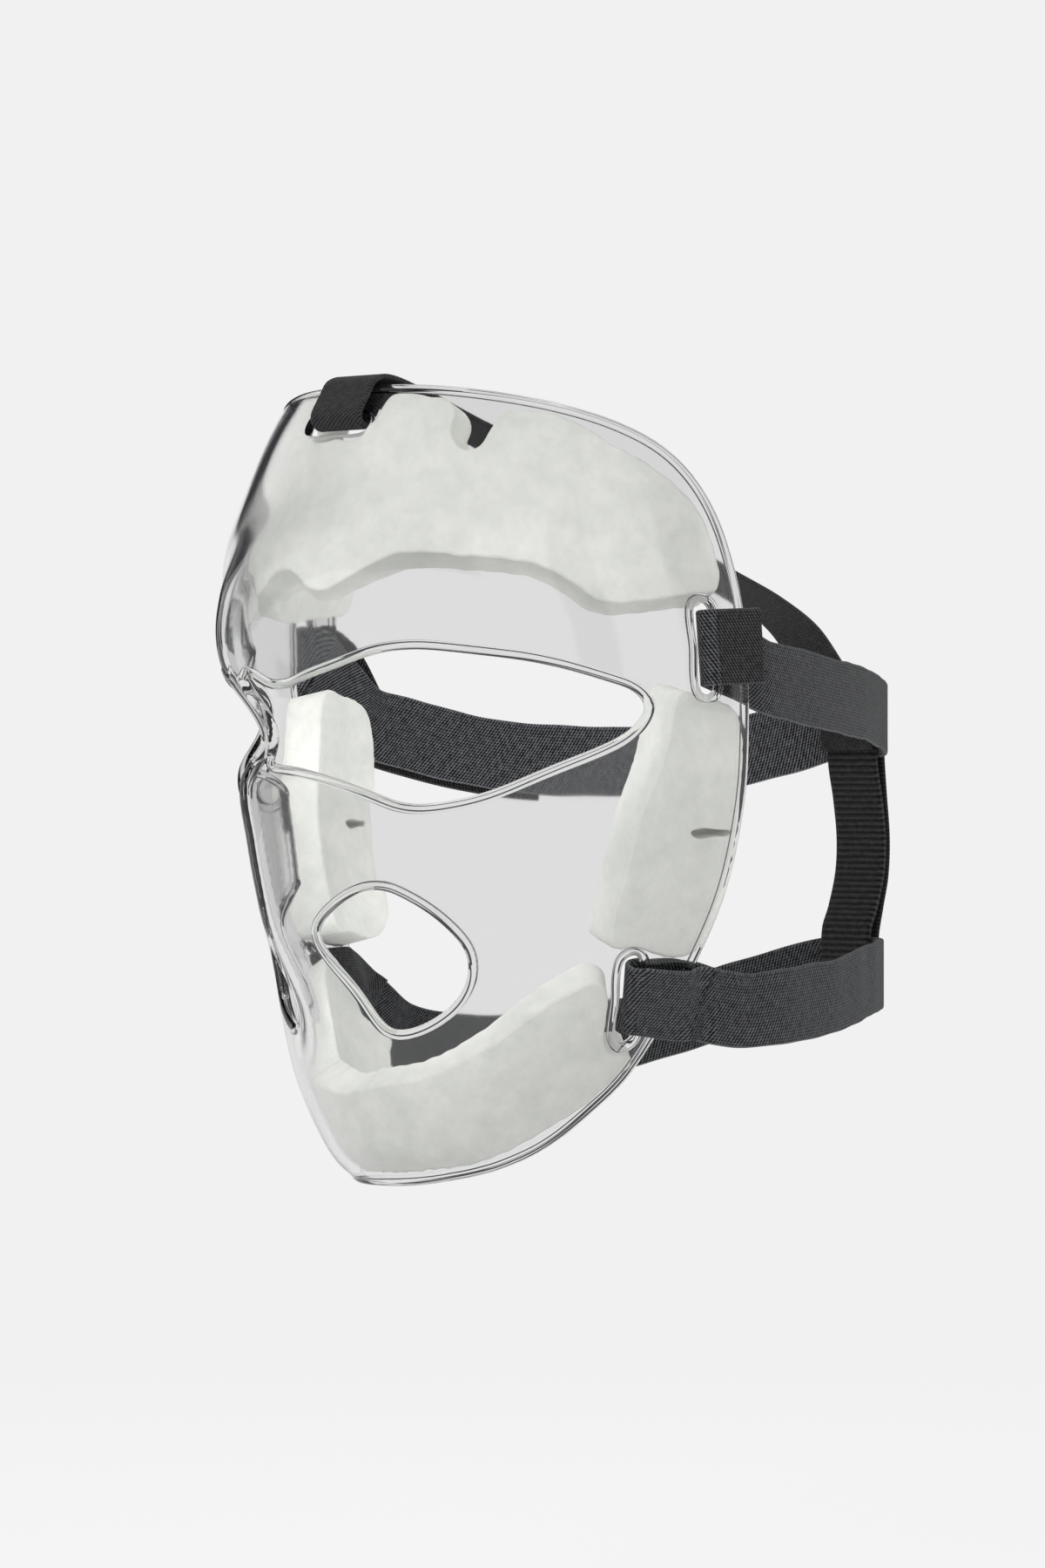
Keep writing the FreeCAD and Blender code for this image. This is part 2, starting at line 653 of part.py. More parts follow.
def make_upper_strap(name, shares, side, rim_up):
    """Upper strap, inside the rim and out through its slot; returns its free stretch and fold."""
    turn, forward, direction = side_fold(UPPER_SLOT_SHARES)
    free = free_path(shares, direction)
    rim = rim_point(UPPER_RIM_SHARE, rim_up, -INSIDE_DEPTH)
    path = free + [(point, direction) for point in [rim] + turn]
    band(name, mirrored_path(path, side), STRAP, THICK)
    return free, turn[-1] - forward * size("tail_gap"), forward, direction


def make_upper_straps():
    """Both upper straps, the short left tail and the long right tail with its hooks."""
    _, start, forward, direction = make_upper_strap(
        "upper_left_strap", UPPER_LEFT_SHARES, 1, UPPER_LEFT_RIM_SHARE
    )
    length = size("side_tail_length")
    tail = [(start - forward * (length * share), direction) for share in TAIL_STEP_SHARES]
    band("upper_left_strap_tail", tail, STRAP, THICK)
    free, start, forward, direction = make_upper_strap(
        "upper_right_strap", UPPER_RIGHT_SHARES, -1, UPPER_RIGHT_RIM_SHARE
    )
    lift = THICK + size("tail_gap") + size("hook_thickness") + LAYER
    beside = following_path(even_path(free[::-1]), lift, size("tail_drop"))
    beside = path_start(beside, size("long_tail_length"))
    lead = [(start - forward * (size("tail_lead") * share), direction) for share in TAIL_STEP_SHARES]
    band("upper_right_strap_tail", mirrored_path(lead + beside, -1), STRAP, THICK)
    make_hooks("upper_right_tail_hooks", beside[2:], -1)
    seam("upper_right_tail_seam", beside, size("long_tail_length") - size("tail_seam_inset"), -1)


def make_lower_strap(side_name, shares, side):
    """Lower strap outside the shell, in through its slot, turned back and sewn to itself."""
    turn, _, direction = side_fold(LOWER_SLOT_SHARES)
    up = LOWER_SLOT_SHARES[1]
    outer = rim_point(LOWER_RIM_SHARE, up, CLEAR + size("lower_rim_room") + THICK / 2)
    inner = rim_point(LOWER_RIM_SHARE, up, -INSIDE_DEPTH)
    free = free_path(shares, direction)
    rim = [(outer, direction)]
    fold = [(point, direction) for point in turn[::-1] + [inner]]
    sewn = following_path(even_path(free[::-1]), -THICK - size("back_gap"), 0.0)
    end = path_start(sewn, size("turn_in_length"))[1:]
    band(f"lower_{side_name}_strap", mirrored_path(free + rim + fold + end, side), STRAP, THICK)
    seam(f"lower_{side_name}_seam", even_path((free + rim)[::-1]), size("seam_inset"), side)


def top_fold():
    """Half turn of the top strap round the bar above the top slot, from outside to inside."""
    across, up = TOP_SLOT_SHARES
    edge = up + size("slot_width") / 2 / HEIGHT
    normal = face_normal(across, edge)
    down = face_point(across, edge - SLOT_STEP_SHARE) - face_point(across, edge)
    down.normalize()
    middle = face_point(across, edge) - normal * FOLD_DEPTH
    turn = []
    for degrees in FOLD_DEGREES[::-1]:
        angle = math.radians(degrees)
        below, out = FOLD_RADIUS * math.cos(angle), FOLD_RADIUS * math.sin(angle)
        turn.append(middle + down * below + normal * out)
    return turn, down


def make_top_strap():
    """Top strap from the back over the crown, down to its slot, and its tail inside the shell."""
    crown = face_point(0.0, RIM_TOP_SHARE).y
    reach = BACK - TOP_LAYER - crown
    free = [FreeCAD.Vector(0, crown + reach * back, HEIGHT * up) for back, up in TOP_STRAP_SHARES]
    turn, down = top_fold()
    over = [offset_point(0.0, up, CLEAR + THICK / 2) for up in TOP_RISE_SHARES]
    path = [(point, SIDEWAYS) for point in free + over + turn]
    band("top_strap", path, STRAP, THICK)
    lift = THICK + size("tail_gap") + size("hook_thickness") + LAYER
    beside = following_path(even_path([(point, SIDEWAYS) for point in free[::-1]]), lift, 0.0)
    beside = path_start(path_rest(beside, size("top_tail_lead")), size("top_tail_length"))
    lead = [turn[-1] - down * size("tail_gap")]
    lead += [offset_point(0.0, up, -INSIDE_DEPTH * depth) for up, depth in TOP_TAIL_SHARES]
    band("top_strap_tail", [(point, SIDEWAYS) for point in lead] + beside, STRAP, THICK)
    make_hooks("top_strap_tail_hooks", beside[2:], 1)


def make_straps():
    make_upper_straps()
    make_lower_strap("left", LOWER_LEFT_SHARES, 1)
    make_lower_strap("right", LOWER_RIGHT_SHARES, -1)
    make_top_strap()


def make_back():
    """Ribbed webbing down the back and the plain elastic behind it."""
    inner = BACK - THICK / 2 - size("back_gap") - size("webbing_thickness") / 2
    webbing = [
        (FreeCAD.Vector(0, inner * share, HEIGHT * up), SIDEWAYS) for share, up in WEBBING_SHARES
    ]
    band("back_webbing", webbing, STRAP, size("webbing_thickness"))
    outer = BACK + THICK + size("back_gap")
    elastic = [
        (FreeCAD.Vector(0, outer * share, HEIGHT * up), SIDEWAYS) for share, up in BACK_ELASTIC_SHARES
    ]
    band("back_elastic", elastic, size("back_elastic_width"), THICK)


def plate(name, inset, deeper):
    """Box of the stitch pattern, made smaller all round by an inset."""
    box = doc.addObject("Part::Box", name)
    for side in ("Length", "Height"):
        box.setExpression(side, f"sizes.stitch_box - 2 * {inset}")
    box.setExpression("Width", f"sizes.stitch_thread + 2 * {deeper}")
    return box


def stitch_frame(name, share, up):
    """Square of stitches on the rear face of the plain elastic."""
    outer = plate(f"{name}_outer", "0", "0")
    inner = plate(f"{name}_inner", "sizes.seam_width", "sizes.stitch_thread")
    inner.setExpression("Placement.Base.x", "sizes.seam_width")
    inner.setExpression("Placement.Base.y", "-sizes.stitch_thread")
    inner.setExpression("Placement.Base.z", "sizes.seam_width")
    frame = doc.addObject("Part::Cut", name)
    frame.Label = name
    frame.Base = outer
    frame.Tool = inner
    half = size("stitch_box") / 2
    back = (BACK + THICK + size("back_gap")) * share + THICK / 2 + LAYER
    frame.Placement = FreeCAD.Placement(FreeCAD.Vector(-half, back, HEIGHT * up - half), FreeCAD.Rotation())
    pieces.append(frame)


def make_stitches():
    stitch_frame("upper_back_stitching", *UPPER_JUNCTION_SHARES)
    stitch_frame("lower_back_stitching", *LOWER_JUNCTION_SHARES)


make_shell()
make_pads()
make_straps()
make_back()
make_stitches()
doc.recompute()

for item in doc.Objects:
    if "Invalid" in item.State or "Error" in item.State:
        raise RuntimeError(f"{item.Label} did not recompute: {item.State}")
for piece in pieces:
    if piece.Shape.isNull() or not piece.Shape.isValid():
        raise RuntimeError(f"{piece.Label} has no valid shape")
for piece in pieces:
    piece.Shape.exportStep(f"parts/{piece.Label}.step")
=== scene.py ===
import math
import random

import bpy
import numpy as np
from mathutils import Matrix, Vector
from mathutils.geometry import delaunay_2d_cdt

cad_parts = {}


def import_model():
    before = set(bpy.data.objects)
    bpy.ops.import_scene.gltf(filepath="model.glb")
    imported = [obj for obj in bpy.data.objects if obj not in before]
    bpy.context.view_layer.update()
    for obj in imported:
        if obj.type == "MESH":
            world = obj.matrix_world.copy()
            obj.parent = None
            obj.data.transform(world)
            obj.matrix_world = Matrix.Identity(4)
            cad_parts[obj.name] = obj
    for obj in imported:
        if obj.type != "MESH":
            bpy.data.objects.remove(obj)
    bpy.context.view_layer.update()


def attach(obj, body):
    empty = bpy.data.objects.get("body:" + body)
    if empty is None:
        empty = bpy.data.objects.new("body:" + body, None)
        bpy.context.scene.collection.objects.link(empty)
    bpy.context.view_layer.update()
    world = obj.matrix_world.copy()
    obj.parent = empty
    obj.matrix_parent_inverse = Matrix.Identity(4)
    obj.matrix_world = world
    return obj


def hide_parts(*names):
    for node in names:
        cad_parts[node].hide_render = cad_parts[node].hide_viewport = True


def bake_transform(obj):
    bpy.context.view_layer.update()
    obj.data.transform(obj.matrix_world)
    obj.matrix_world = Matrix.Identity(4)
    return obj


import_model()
scene = bpy.context.scene
MM = 0.001

# Camera of the photograph: level, 47.5 degrees round from the front, 2 m away.
TURN = math.radians(47.5)
DISTANCE = 2.0
cam_data = bpy.data.cameras.new("camera")
cam_data.lens = 147.2
cam_data.sensor_width = 36.0
camera = bpy.data.objects.new("camera", cam_data)
scene.collection.objects.link(camera)
target = Vector((math.cos(TURN) * 0.003, math.sin(TURN) * 0.003, -0.0424))
toward = Vector((math.sin(TURN), -math.cos(TURN), 0.0))
RIGHT = Vector((math.cos(TURN), math.sin(TURN), 0.0))
camera.location = target + toward * DISTANCE
camera.rotation_mode = "QUATERNION"
camera.rotation_quaternion = toward.to_track_quat("Z", "Y")
scene.camera = camera

# Sizes in millimetres, the same as the solids'.
HEIGHT = 250.0
HALF_WIDTH = 96.5
DEPTH = 100.0
SIDE_REACH = 14.0
NOSE_REACH = 33.0
NOSE_SPREAD = 32.0
WALL = 3.0
LAYER = 0.1
PAD_GAP = 0.5
STRAP = 23.0
THICK = 1.6
CLEAR = 0.5
INSIDE_ROOM = 1.2
RIM_ROOM = 2.5
SLOT_WIDTH = 6.0
SLOT_LENGTH = 28.0
TAIL_GAP = 0.8
SIDE_TAIL = 15.0
HOOK = 0.8
HOOK_MARGIN = 2.0
LONG_TAIL = 66.0
TAIL_LEAD = 13.0
TAIL_DROP = 2.0
BACK_REACH = 153.2
BACK_GAP = 0.5
WEBBING = 1.8
BACK_WIDTH = 20.0
TURN_IN = 9.0
TOP_TAIL = 28.0
TOP_LEAD = 6.0
STITCH_BOX = 14.0
SEAM_INSET = 5.5
TAIL_SEAM_INSET = 10.0
SEAM_SLANT = 3.0
FOLD_DEPTH = (WALL + INSIDE_ROOM) / 2
FOLD_RADIUS = FOLD_DEPTH + CLEAR + THICK / 2
INSIDE_DEPTH = WALL + INSIDE_ROOM + CLEAR + THICK / 2
TOP_LAYER = THICK + 2 * BACK_GAP + WEBBING
SIDE_LIMIT = 0.985
SECTION_POWER = 2.15
NOSE_POWER = 2.3
SHARE_STEP = 0.002
PAD_FOLLOW = 0.5
FOREHEAD_FOAM, CHEEK_FOAM, CHIN_FOAM = 10.0, 15.0, 10.0
PAD_EDGE, PAD_BEVEL, PAD_REACH = 1.2, 2.4, 1.9
PAD_LEAD = 0.6
SLIT_EDGE = 0.35
CUT_WAVER = 0.0006
# Radius and centre of the rolled rims and of the smaller slot lips, and how far each stands out.
RIM_BEAD, RIM_REACH = (1.85, 1.1), 2.95
SLOT_LIP, LIP_REACH = (1.65, 0.9), 2.55
PLAIN_REACH = 1.5
# Spacing of the points inside a sheet, of those along its edges, and of the rows of points.
SHELL_SPACING, PAD_SPACING = 2.2, 3.0
RIM_STEP, OPENING_STEP, SLOT_STEP, PAD_STEP, SLIT_STEP = 2.0, 1.5, 0.9, 1.6, 0.7
ROW_HEIGHT, EDGE_ROOM = 0.87, 0.62
FOLD_TURNS = range(-90, 91, 15)
ROUTE_STEP = 4.0
RIGHT_SLID = 2.3
STITCH_LENGTH = 1.9

WIDTH_ROWS = np.array([
    (-0.712, 0.25), (-0.672, 0.325), (-0.656, 0.373), (-0.636, 0.445), (-0.60, 0.525),
    (-0.56, 0.60), (-0.52, 0.667), (-0.46, 0.756), (-0.392, 0.845), (-0.312, 0.927), (-0.24, 0.974),
    (-0.14, 1.0), (0.0, 1.0), (0.116, 0.953), (0.20, 0.891), (0.268, 0.819), (0.368, 0.684),
])
FRONT_ROWS = np.array([
    (-0.712, 0.40), (-0.672, 0.518), (-0.656, 0.572), (-0.634, 0.626), (-0.60, 0.668),
    (-0.56, 0.702), (-0.52, 0.722), (-0.46, 0.722), (-0.40, 0.712), (-0.32, 0.73), (-0.24, 0.76),
    (-0.12, 0.80), (0.0, 0.835), (0.10, 0.885), (0.20, 0.805), (0.268, 0.735), (0.32, 0.655),
    (0.368, 0.56),
])
NOSE_ROWS = np.array([
    (-0.712, 0.0), (-0.60, 0.03), (-0.53, 0.09), (-0.45, 0.34), (-0.40, 0.62), (-0.36, 0.79),
    (-0.32, 0.88), (-0.24, 0.94), (-0.168, 0.94), (-0.112, 0.62), (-0.04, 0.97), (0.008, 1.0),
    (0.056, 0.80), (0.12, 0.38), (0.18, 0.10), (0.24, 0.0), (0.368, 0.0),
])
SPREAD_ROWS = np.array([
    (-0.712, 0.70), (-0.60, 0.70), (-0.52, 0.60), (-0.44, 0.47), (-0.32, 0.41), (-0.20, 0.41),
    (-0.112, 0.50), (-0.032, 0.63), (0.04, 0.81), (0.12, 1.0), (0.368, 1.0),
])
RIM_ROWS = [
    (-0.60, 0.314), (-0.52, 0.306), (-0.36, 0.288), (-0.20, 0.262), (-0.10, 0.236), (-0.03, 0.204),
    (0.02, 0.164), (0.05, 0.12), (0.07, 0.072), (0.085, -0.048), (0.085, -0.172), (0.07, -0.24),
    (0.05, -0.312), (0.01, -0.392), (-0.05, -0.488), (-0.09, -0.532), (-0.15, -0.568),
    (-0.23, -0.608), (-0.34, -0.638), (-0.46, -0.656),
]
RIM_TOP, RIM_BOTTOM = 0.318, -0.662
EYE_ROWS = [
    (0.030, -0.040), (0.053, -0.056), (0.078, -0.056), (0.103, -0.046), (0.136, -0.034),
    (0.188, -0.018), (0.26, -0.010), (0.34, -0.012), (0.42, -0.017), (0.50, -0.023), (0.60, -0.036),
    (0.68, -0.050), (0.725, -0.062), (0.741, -0.076), (0.73, -0.092), (0.67, -0.118),
    (0.578, -0.140), (0.50, -0.158), (0.44, -0.172), (0.38, -0.183), (0.32, -0.190), (0.25, -0.194),
    (0.19, -0.190), (0.146, -0.179), (0.097, -0.160), (0.062, -0.148), (0.040, -0.143),
    (0.026, -0.132), (0.021, -0.112), (0.021, -0.082), (0.022, -0.056),
]
CHEEK_OPENING_ROWS = [
    (0.076, -0.351), (0.091, -0.322), (0.124, -0.300), (0.185, -0.306), (0.255, -0.325),
    (0.321, -0.351), (0.364, -0.380), (0.371, -0.400), (0.355, -0.430), (0.318, -0.449),
    (0.256, -0.464), (0.194, -0.464), (0.151, -0.443), (0.122, -0.419), (0.089, -0.383),
]
FOREHEAD_PAD_ROWS = [
    (0.0, 0.256), (0.085, 0.257), (0.105, 0.270), (0.119, 0.290), (0.136, 0.307), (0.175, 0.312),
    (0.25, 0.308), (0.32, 0.301), (0.345, 0.292), (0.355, 0.276), (0.350, 0.262), (0.360, 0.249),
    (0.388, 0.239), (0.418, 0.242), (0.434, 0.257), (0.448, 0.272), (0.468, 0.283), (0.53, 0.287),
    (0.60, 0.283), (0.67, 0.268), (0.734, 0.246), (0.80, 0.226), (0.855, 0.203), (0.900, 0.176),
    (0.928, 0.137), (0.938, 0.100), (0.938, 0.078), (0.925, 0.062), (0.886, 0.057), (0.80, 0.050),
    (0.72, 0.044), (0.676, 0.046), (0.627, 0.066), (0.567, 0.088), (0.485, 0.098), (0.40, 0.102),
    (0.32, 0.107), (0.25, 0.102), (0.205, 0.088), (0.16, 0.070), (0.125, 0.060), (0.095, 0.062),
    (0.065, 0.076), (0.03, 0.090), (0.0, 0.094),
]
CHEEK_PAD_ROWS = [
    (0.821, -0.058), (0.87, -0.062), (0.91, -0.067), (0.950, -0.078), (0.966, -0.100),
    (0.970, -0.17), (0.966, -0.24), (0.955, -0.31), (0.935, -0.371), (0.885, -0.386),
    (0.827, -0.383), (0.76, -0.375), (0.700, -0.370), (0.690, -0.348), (0.700, -0.289),
    (0.730, -0.206), (0.771, -0.148), (0.791, -0.107), (0.805, -0.072),
]
CHIN_PAD_ROWS = [
    (0.0, -0.545), (0.07, -0.541), (0.19, -0.532), (0.282, -0.526), (0.36, -0.513), (0.423, -0.498),
    (0.512, -0.468), (0.572, -0.440), (0.643, -0.417), (0.680, -0.409), (0.715, -0.414),
    (0.740, -0.432), (0.755, -0.455), (0.770, -0.485), (0.80, -0.500), (0.845, -0.502),
    (0.862, -0.512), (0.84, -0.532), (0.785, -0.566), (0.72, -0.590), (0.654, -0.611),
    (0.57, -0.630), (0.49, -0.641), (0.36, -0.648), (0.20, -0.652), (0.0, -0.652),
]
CHEEK_SLIT_ROWS = [
    (0.8515, -0.2293), (0.8635, -0.2257), (0.891, -0.2245), (0.926, -0.2263), (0.950, -0.2296),
    (0.946, -0.2326), (0.919, -0.2346), (0.885, -0.2375), (0.861, -0.2350),
]
UPPER_SLOT = (0.878, -0.006, 0.0)
LOWER_SLOT = (0.782, -0.432, 16.0)
TOP_SLOT = (0.0, 0.270, -90.0)


def read_rows(rows, share):
    """Smooth reading of a table of (height share, value)."""
    xs, ys = rows[:, 0], rows[:, 1]
    i = np.clip(np.searchsorted(xs, share, side="right") - 1, 0, len(xs) - 2)
    before, after = np.maximum(i - 1, 0), np.minimum(i + 2, len(xs) - 1)
    span = xs[i + 1] - xs[i]
    low = (ys[i + 1] - ys[before]) / (xs[i + 1] - xs[before]) * span
    high = (ys[after] - ys[i]) / (xs[after] - xs[i]) * span
    t = (share - xs[i]) / span
    t2, t3 = t * t, t * t * t
    return (
        (2 * t3 - 3 * t2 + 1) * ys[i] + (t3 - 2 * t2 + t) * low
        + (3 * t2 - 2 * t3) * ys[i + 1] + (t3 - t2) * high
    )


def face(across, up, follow=1.0):
    """Points of the outer face in millimetres, one row for each pair of shares."""
    across, up = np.atleast_1d(np.asarray(across, float)), np.atleast_1d(np.asarray(up, float))
    sine = np.sin(across * math.pi / 2)
    half = HALF_WIDTH * read_rows(WIDTH_ROWS, up)
    front = DEPTH * read_rows(FRONT_ROWS, up)
    nose = NOSE_REACH * read_rows(NOSE_ROWS, up) * follow
    spread = NOSE_SPREAD * read_rows(SPREAD_ROWS, up)
    bow = np.maximum(1 - np.abs(sine) ** SECTION_POWER, 0) ** (1 / SECTION_POWER)
    side = half * sine
    back = SIDE_REACH - (SIDE_REACH + front) * bow
    back = back - nose * np.exp(-((np.abs(side) / spread) ** NOSE_POWER))
    return np.stack([side, back, HEIGHT * up], 1)


def slopes(across, up, follow=1.0):
    """How the face moves for a unit of each share, and its unit normal out of the front."""
    across, up = np.atleast_1d(np.asarray(across, float)), np.atleast_1d(np.asarray(up, float))
    low = np.maximum(across - SHARE_STEP, -SIDE_LIMIT)
    high = np.minimum(across + SHARE_STEP, SIDE_LIMIT)
    along = (face(high, up, follow) - face(low, up, follow)) / (high - low)[:, None]
    rise = face(across, up + SHARE_STEP, follow) - face(across, up - SHARE_STEP, follow)
    rise /= 2 * SHARE_STEP
    normal = np.cross(along, rise)
    normal /= np.linalg.norm(normal, axis=1)[:, None]
    return along, rise, normal


def across_at(depth_share, up):
    """The side share at which the face lies at a depth share."""
    low, high = 0.0, SIDE_LIMIT
    for _ in range(40):
        middle = (low + high) / 2
        if face(middle, up)[0, 1] < depth_share * DEPTH:
            low = middle
        else:
            high = middle
    return low


def offset_point(across, up, offset):
    return Vector(face(across, up)[0] + slopes(across, up)[2][0] * offset)


# Outlines in shares. A flat sheet of them, in millimetres, is what the triangles are laid out on.
FLAT = np.array([150.0, 250.0])


def smooth_loop(points, spacing):
    """Even points on a closed smooth curve through a few points."""
    knots = np.array(points) * FLAT
    count = len(knots)
    spans = np.linalg.norm(np.roll(knots, -1, 0) - knots, axis=1)
    matrix, right = np.zeros((count, count)), np.zeros((count, 2))
    for i in range(count):
        before, after = spans[i - 1], spans[i]
        matrix[i, i - 1] += before
        matrix[i, i] += 2 * (before + after)
        matrix[i, (i + 1) % count] += after
        right[i] = 6 * (
            (knots[(i + 1) % count] - knots[i]) / after - (knots[i] - knots[i - 1]) / before
        )
    bend = np.linalg.solve(matrix, right)
    dense = []
    for i in range(count):
        j, span = (i + 1) % count, spans[i]
        for t in np.linspace(0, 1, 24, endpoint=False):
            a, b = 1 - t, t
            dense.append(
                a * knots[i] + b * knots[j]
                + ((a**3 - a) * bend[i] + (b**3 - b) * bend[j]) * span**2 / 6
            )
    dense = np.array(dense)
    steps = np.linalg.norm(np.roll(dense, -1, 0) - dense, axis=1)
    length = np.concatenate([[0], np.cumsum(steps)])
    wanted = np.linspace(0, length[-1], max(int(length[-1] / spacing), 16), endpoint=False)
    closed = np.vstack([dense, dense[:1]])
    loop = np.stack([np.interp(wanted, length, closed[:, k]) for k in (0, 1)], 1)
    return loop / FLAT


def mirrored(loop):
    return [(-a, u) for a, u in loop]


def both_halves(half):
    return list(half) + mirrored(half[1:-1])[::-1]


def rim_loop():
    left = [(across_at(depth, up), up) for depth, up in RIM_ROWS]
    return [(0.0, RIM_TOP)] + left + [(0.0, RIM_BOTTOM)] + mirrored(left)[::-1]


def slot_loop(across, up, tilt):
    """Slot with round ends about a place on the face, leaning by a tilt in degrees."""
    radius, lean = SLOT_WIDTH / 2, math.radians(tilt)
    straight = SLOT_LENGTH / 2 - radius
    along = np.linalg.norm(face(across + SHARE_STEP, up) - face(across, up)) / SHARE_STEP
    points = []
    for end in (1, -1):
        for degrees in (0, 45, 90, 135, 180):
            turn = math.radians(degrees)
            rise = end * (straight + radius * math.sin(turn))
            points.append((end * radius * math.cos(turn), rise))
        points.append((-end * radius, 0.0))
    laid = []
    for side, rise in points:
        shifted = side * math.cos(lean) - rise * math.sin(lean)
        raised = side * math.sin(lean) + rise * math.cos(lean)
        laid.append((across + shifted / along, up + raised / HEIGHT))
    return laid


def inside(points, loop):
    """Which points lie inside a closed loop."""
    x, y = points[:, 0][:, None], points[:, 1][:, None]
    x0, y0 = loop[:, 0][None], loop[:, 1][None]
    x1, y1 = np.roll(loop[:, 0], -1)[None], np.roll(loop[:, 1], -1)[None]
    crosses = (y0 > y) != (y1 > y)
    level = np.where(y1 == y0, 1e-12, y1 - y0)
    hits = crosses & (x < (x1 - x0) * (y - y0) / level + x0)
    return hits.sum(1) % 2 == 1


def loop_frames(loop, follow, hole):
    """Unit normal and unit direction out of the material along a loop of shares."""
    along, rise, normal = slopes(loop[:, 0], loop[:, 1], follow)
    points = face(loop[:, 0], loop[:, 1], follow)
    tangent = np.roll(points, -1, 0) - np.roll(points, 1, 0)
    tangent /= np.linalg.norm(tangent, axis=1)[:, None]
    out = np.cross(tangent, normal)
    flat = loop * FLAT
    area = (flat[:, 0] * np.roll(flat[:, 1], -1) - np.roll(flat[:, 0], -1) * flat[:, 1]).sum()
    if (area < 0) != hole:
        out = -out
    return along, rise, normal, out


def shrink(loop, follow, hole, reach):
    """A loop moved into the material by a length along the face."""
    along, rise, _, out = loop_frames(loop, follow, hole)
    move = -reach * out
    aa, ab, bb = (along * along).sum(1), (along * rise).sum(1), (rise * rise).sum(1)
    ma, mb = (along * move).sum(1), (rise * move).sum(1)
    det = aa * bb - ab * ab
    return loop + np.stack([(ma * bb - mb * ab) / det, (mb * aa - ma * ab) / det], 1)


def between(points, loops):
    """Which points lie inside the first loop and outside the others."""
    keep = inside(points, loops[0])
    for hole in loops[1:]:
        keep &= ~inside(points, hole)
    return keep


def grid_points(loops, spacing):
    """Even points between flat loops and clear of their edges."""
    low, high = loops[0].min(0), loops[0].max(0)
    rows, y = [], low[1] + spacing / 2
    while y < high[1]:
        x = np.arange(low[0] + (spacing / 2 if len(rows) % 2 else 0), high[0], spacing)
        rows.append(np.stack([x, np.full(len(x), y)], 1))
        y += spacing * ROW_HEIGHT
    grid = np.vstack(rows)
    grid = grid[between(grid, loops)]
    edge = np.vstack(loops)
    near = np.array([((edge - point) ** 2).sum(1).min() for point in grid])
    return grid[near > (EDGE_ROOM * spacing) ** 2]


def triangulated(loops, spacing):
    """Points and triangles between flat loops, and where each point of the loops went."""
    edges, start = [], 0
    for loop in loops:
        count = len(loop)
        edges += [(start + i, start + (i + 1) % count) for i in range(count)]
        start += count
    everything = np.vstack(loops + [grid_points(loops, spacing)])
    result = delaunay_2d_cdt([Vector(p) for p in everything], edges, [], 0, 1e-7)
    points = np.array([tuple(v) for v in result[0]])
    triangles = np.array([f for f in result[2] if len(f) == 3])
    where = {old: new for new, olds in enumerate(result[3]) for old in olds}
    return points, triangles[between(points[triangles].mean(1), loops)], where


def sheet_mesh(name, loops, depth, profiles, reaches, spacing, follow=1.0):
    """Closed skin that follows the face: the front at a depth, the back at the profiles' last one.

    The first loop is the outline and the others are holes. Each has a profile from front to back,
    in rows of (reach out of the material, depth, normal out, normal forward)."""
    small = [shrink(loop, follow, i > 0, reaches[i]) for i, loop in enumerate(loops)]
    points, triangles, where = triangulated([loop * FLAT for loop in small], spacing)
    shares = points / FLAT
    base = face(shares[:, 0], shares[:, 1], follow)
    normal = slopes(shares[:, 0], shares[:, 1], follow)[2]
    corner = base[triangles]
    facing = np.cross(corner[:, 1] - corner[:, 0], corner[:, 2] - corner[:, 0])
    flip = (facing * normal[triangles[:, 0]]).sum(1) < 0
    triangles[flip] = triangles[flip][:, ::-1]
    count = len(points)
    verts = [base - normal * depth, base - normal * profiles[0][-1][1]]
    normals = [normal, -normal]
    faces = [tuple(t) for t in triangles] + [tuple(t[::-1] + count) for t in triangles]
    total, start = 2 * count, 0
    for k, loop in enumerate(small):
        size = len(loop)
        index = [where[start + i] for i in range(size)]
        _, _, n, out = loop_frames(loop, follow, k > 0)
        at = base[index]
        rings = [np.array(index)]
        for out_by, depth_by, side, forward in profiles[k][:-1]:
            rings.append(np.arange(total, total + size))
            total += size
            verts.append(at - n * depth_by + out * out_by)
            normals.append(out * side + n * forward)
        rings.append(np.array(index) + count)
        tangent = np.roll(at, -1, 0) - at
        forwards = (np.cross(tangent, n) * out).sum(1).mean() > 0
        for upper, lower in zip(rings, rings[1:]):
            for i in range(size):
                j = (i + 1) % size
                quad = (upper[i], upper[j], lower[j], lower[i])
                faces.append(quad[::-1] if forwards else quad)
        start += size
    mesh = bpy.data.meshes.new(name)
    verts = (np.vstack(verts) * MM).tolist()
    mesh.from_pydata(verts, [], [tuple(int(v) for v in f) for f in faces])
    mesh.validate()
    for polygon in mesh.polygons:
        polygon.use_smooth = True
    return mesh, np.vstack(normals)


def add(mesh, name, material):
    obj = bpy.data.objects.new(name, mesh)
    scene.collection.objects.link(obj)
    mesh.materials.append(material)
    return obj


def place(obj, body, node_name):
    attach(obj, body)
    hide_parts(node_name)


def round_profile():
    """Half round edge of the plain wall."""
    rows, radius, steps = [], WALL / 2, 8
    for i in range(1, steps):
        sine, cosine = math.sin(math.pi * i / steps), math.cos(math.pi * i / steps)
        rows.append((radius * sine, radius - radius * cosine, sine, cosine))
    return rows + [(0.0, WALL, 0.0, -1.0)]


def bead_profile(radius, centre):
    """Thicker rolled lip round an opening."""
    rows, steps = [], 14
    for i in range(steps + 1):
        angle = math.radians(-126 + 252 * i / steps)
        sine, cosine = math.sin(angle), math.cos(angle)
        rows.append((centre + radius * cosine, WALL / 2 + radius * sine, cosine, -sine))
    return rows + [(0.0, WALL, 0.0, -1.0)]


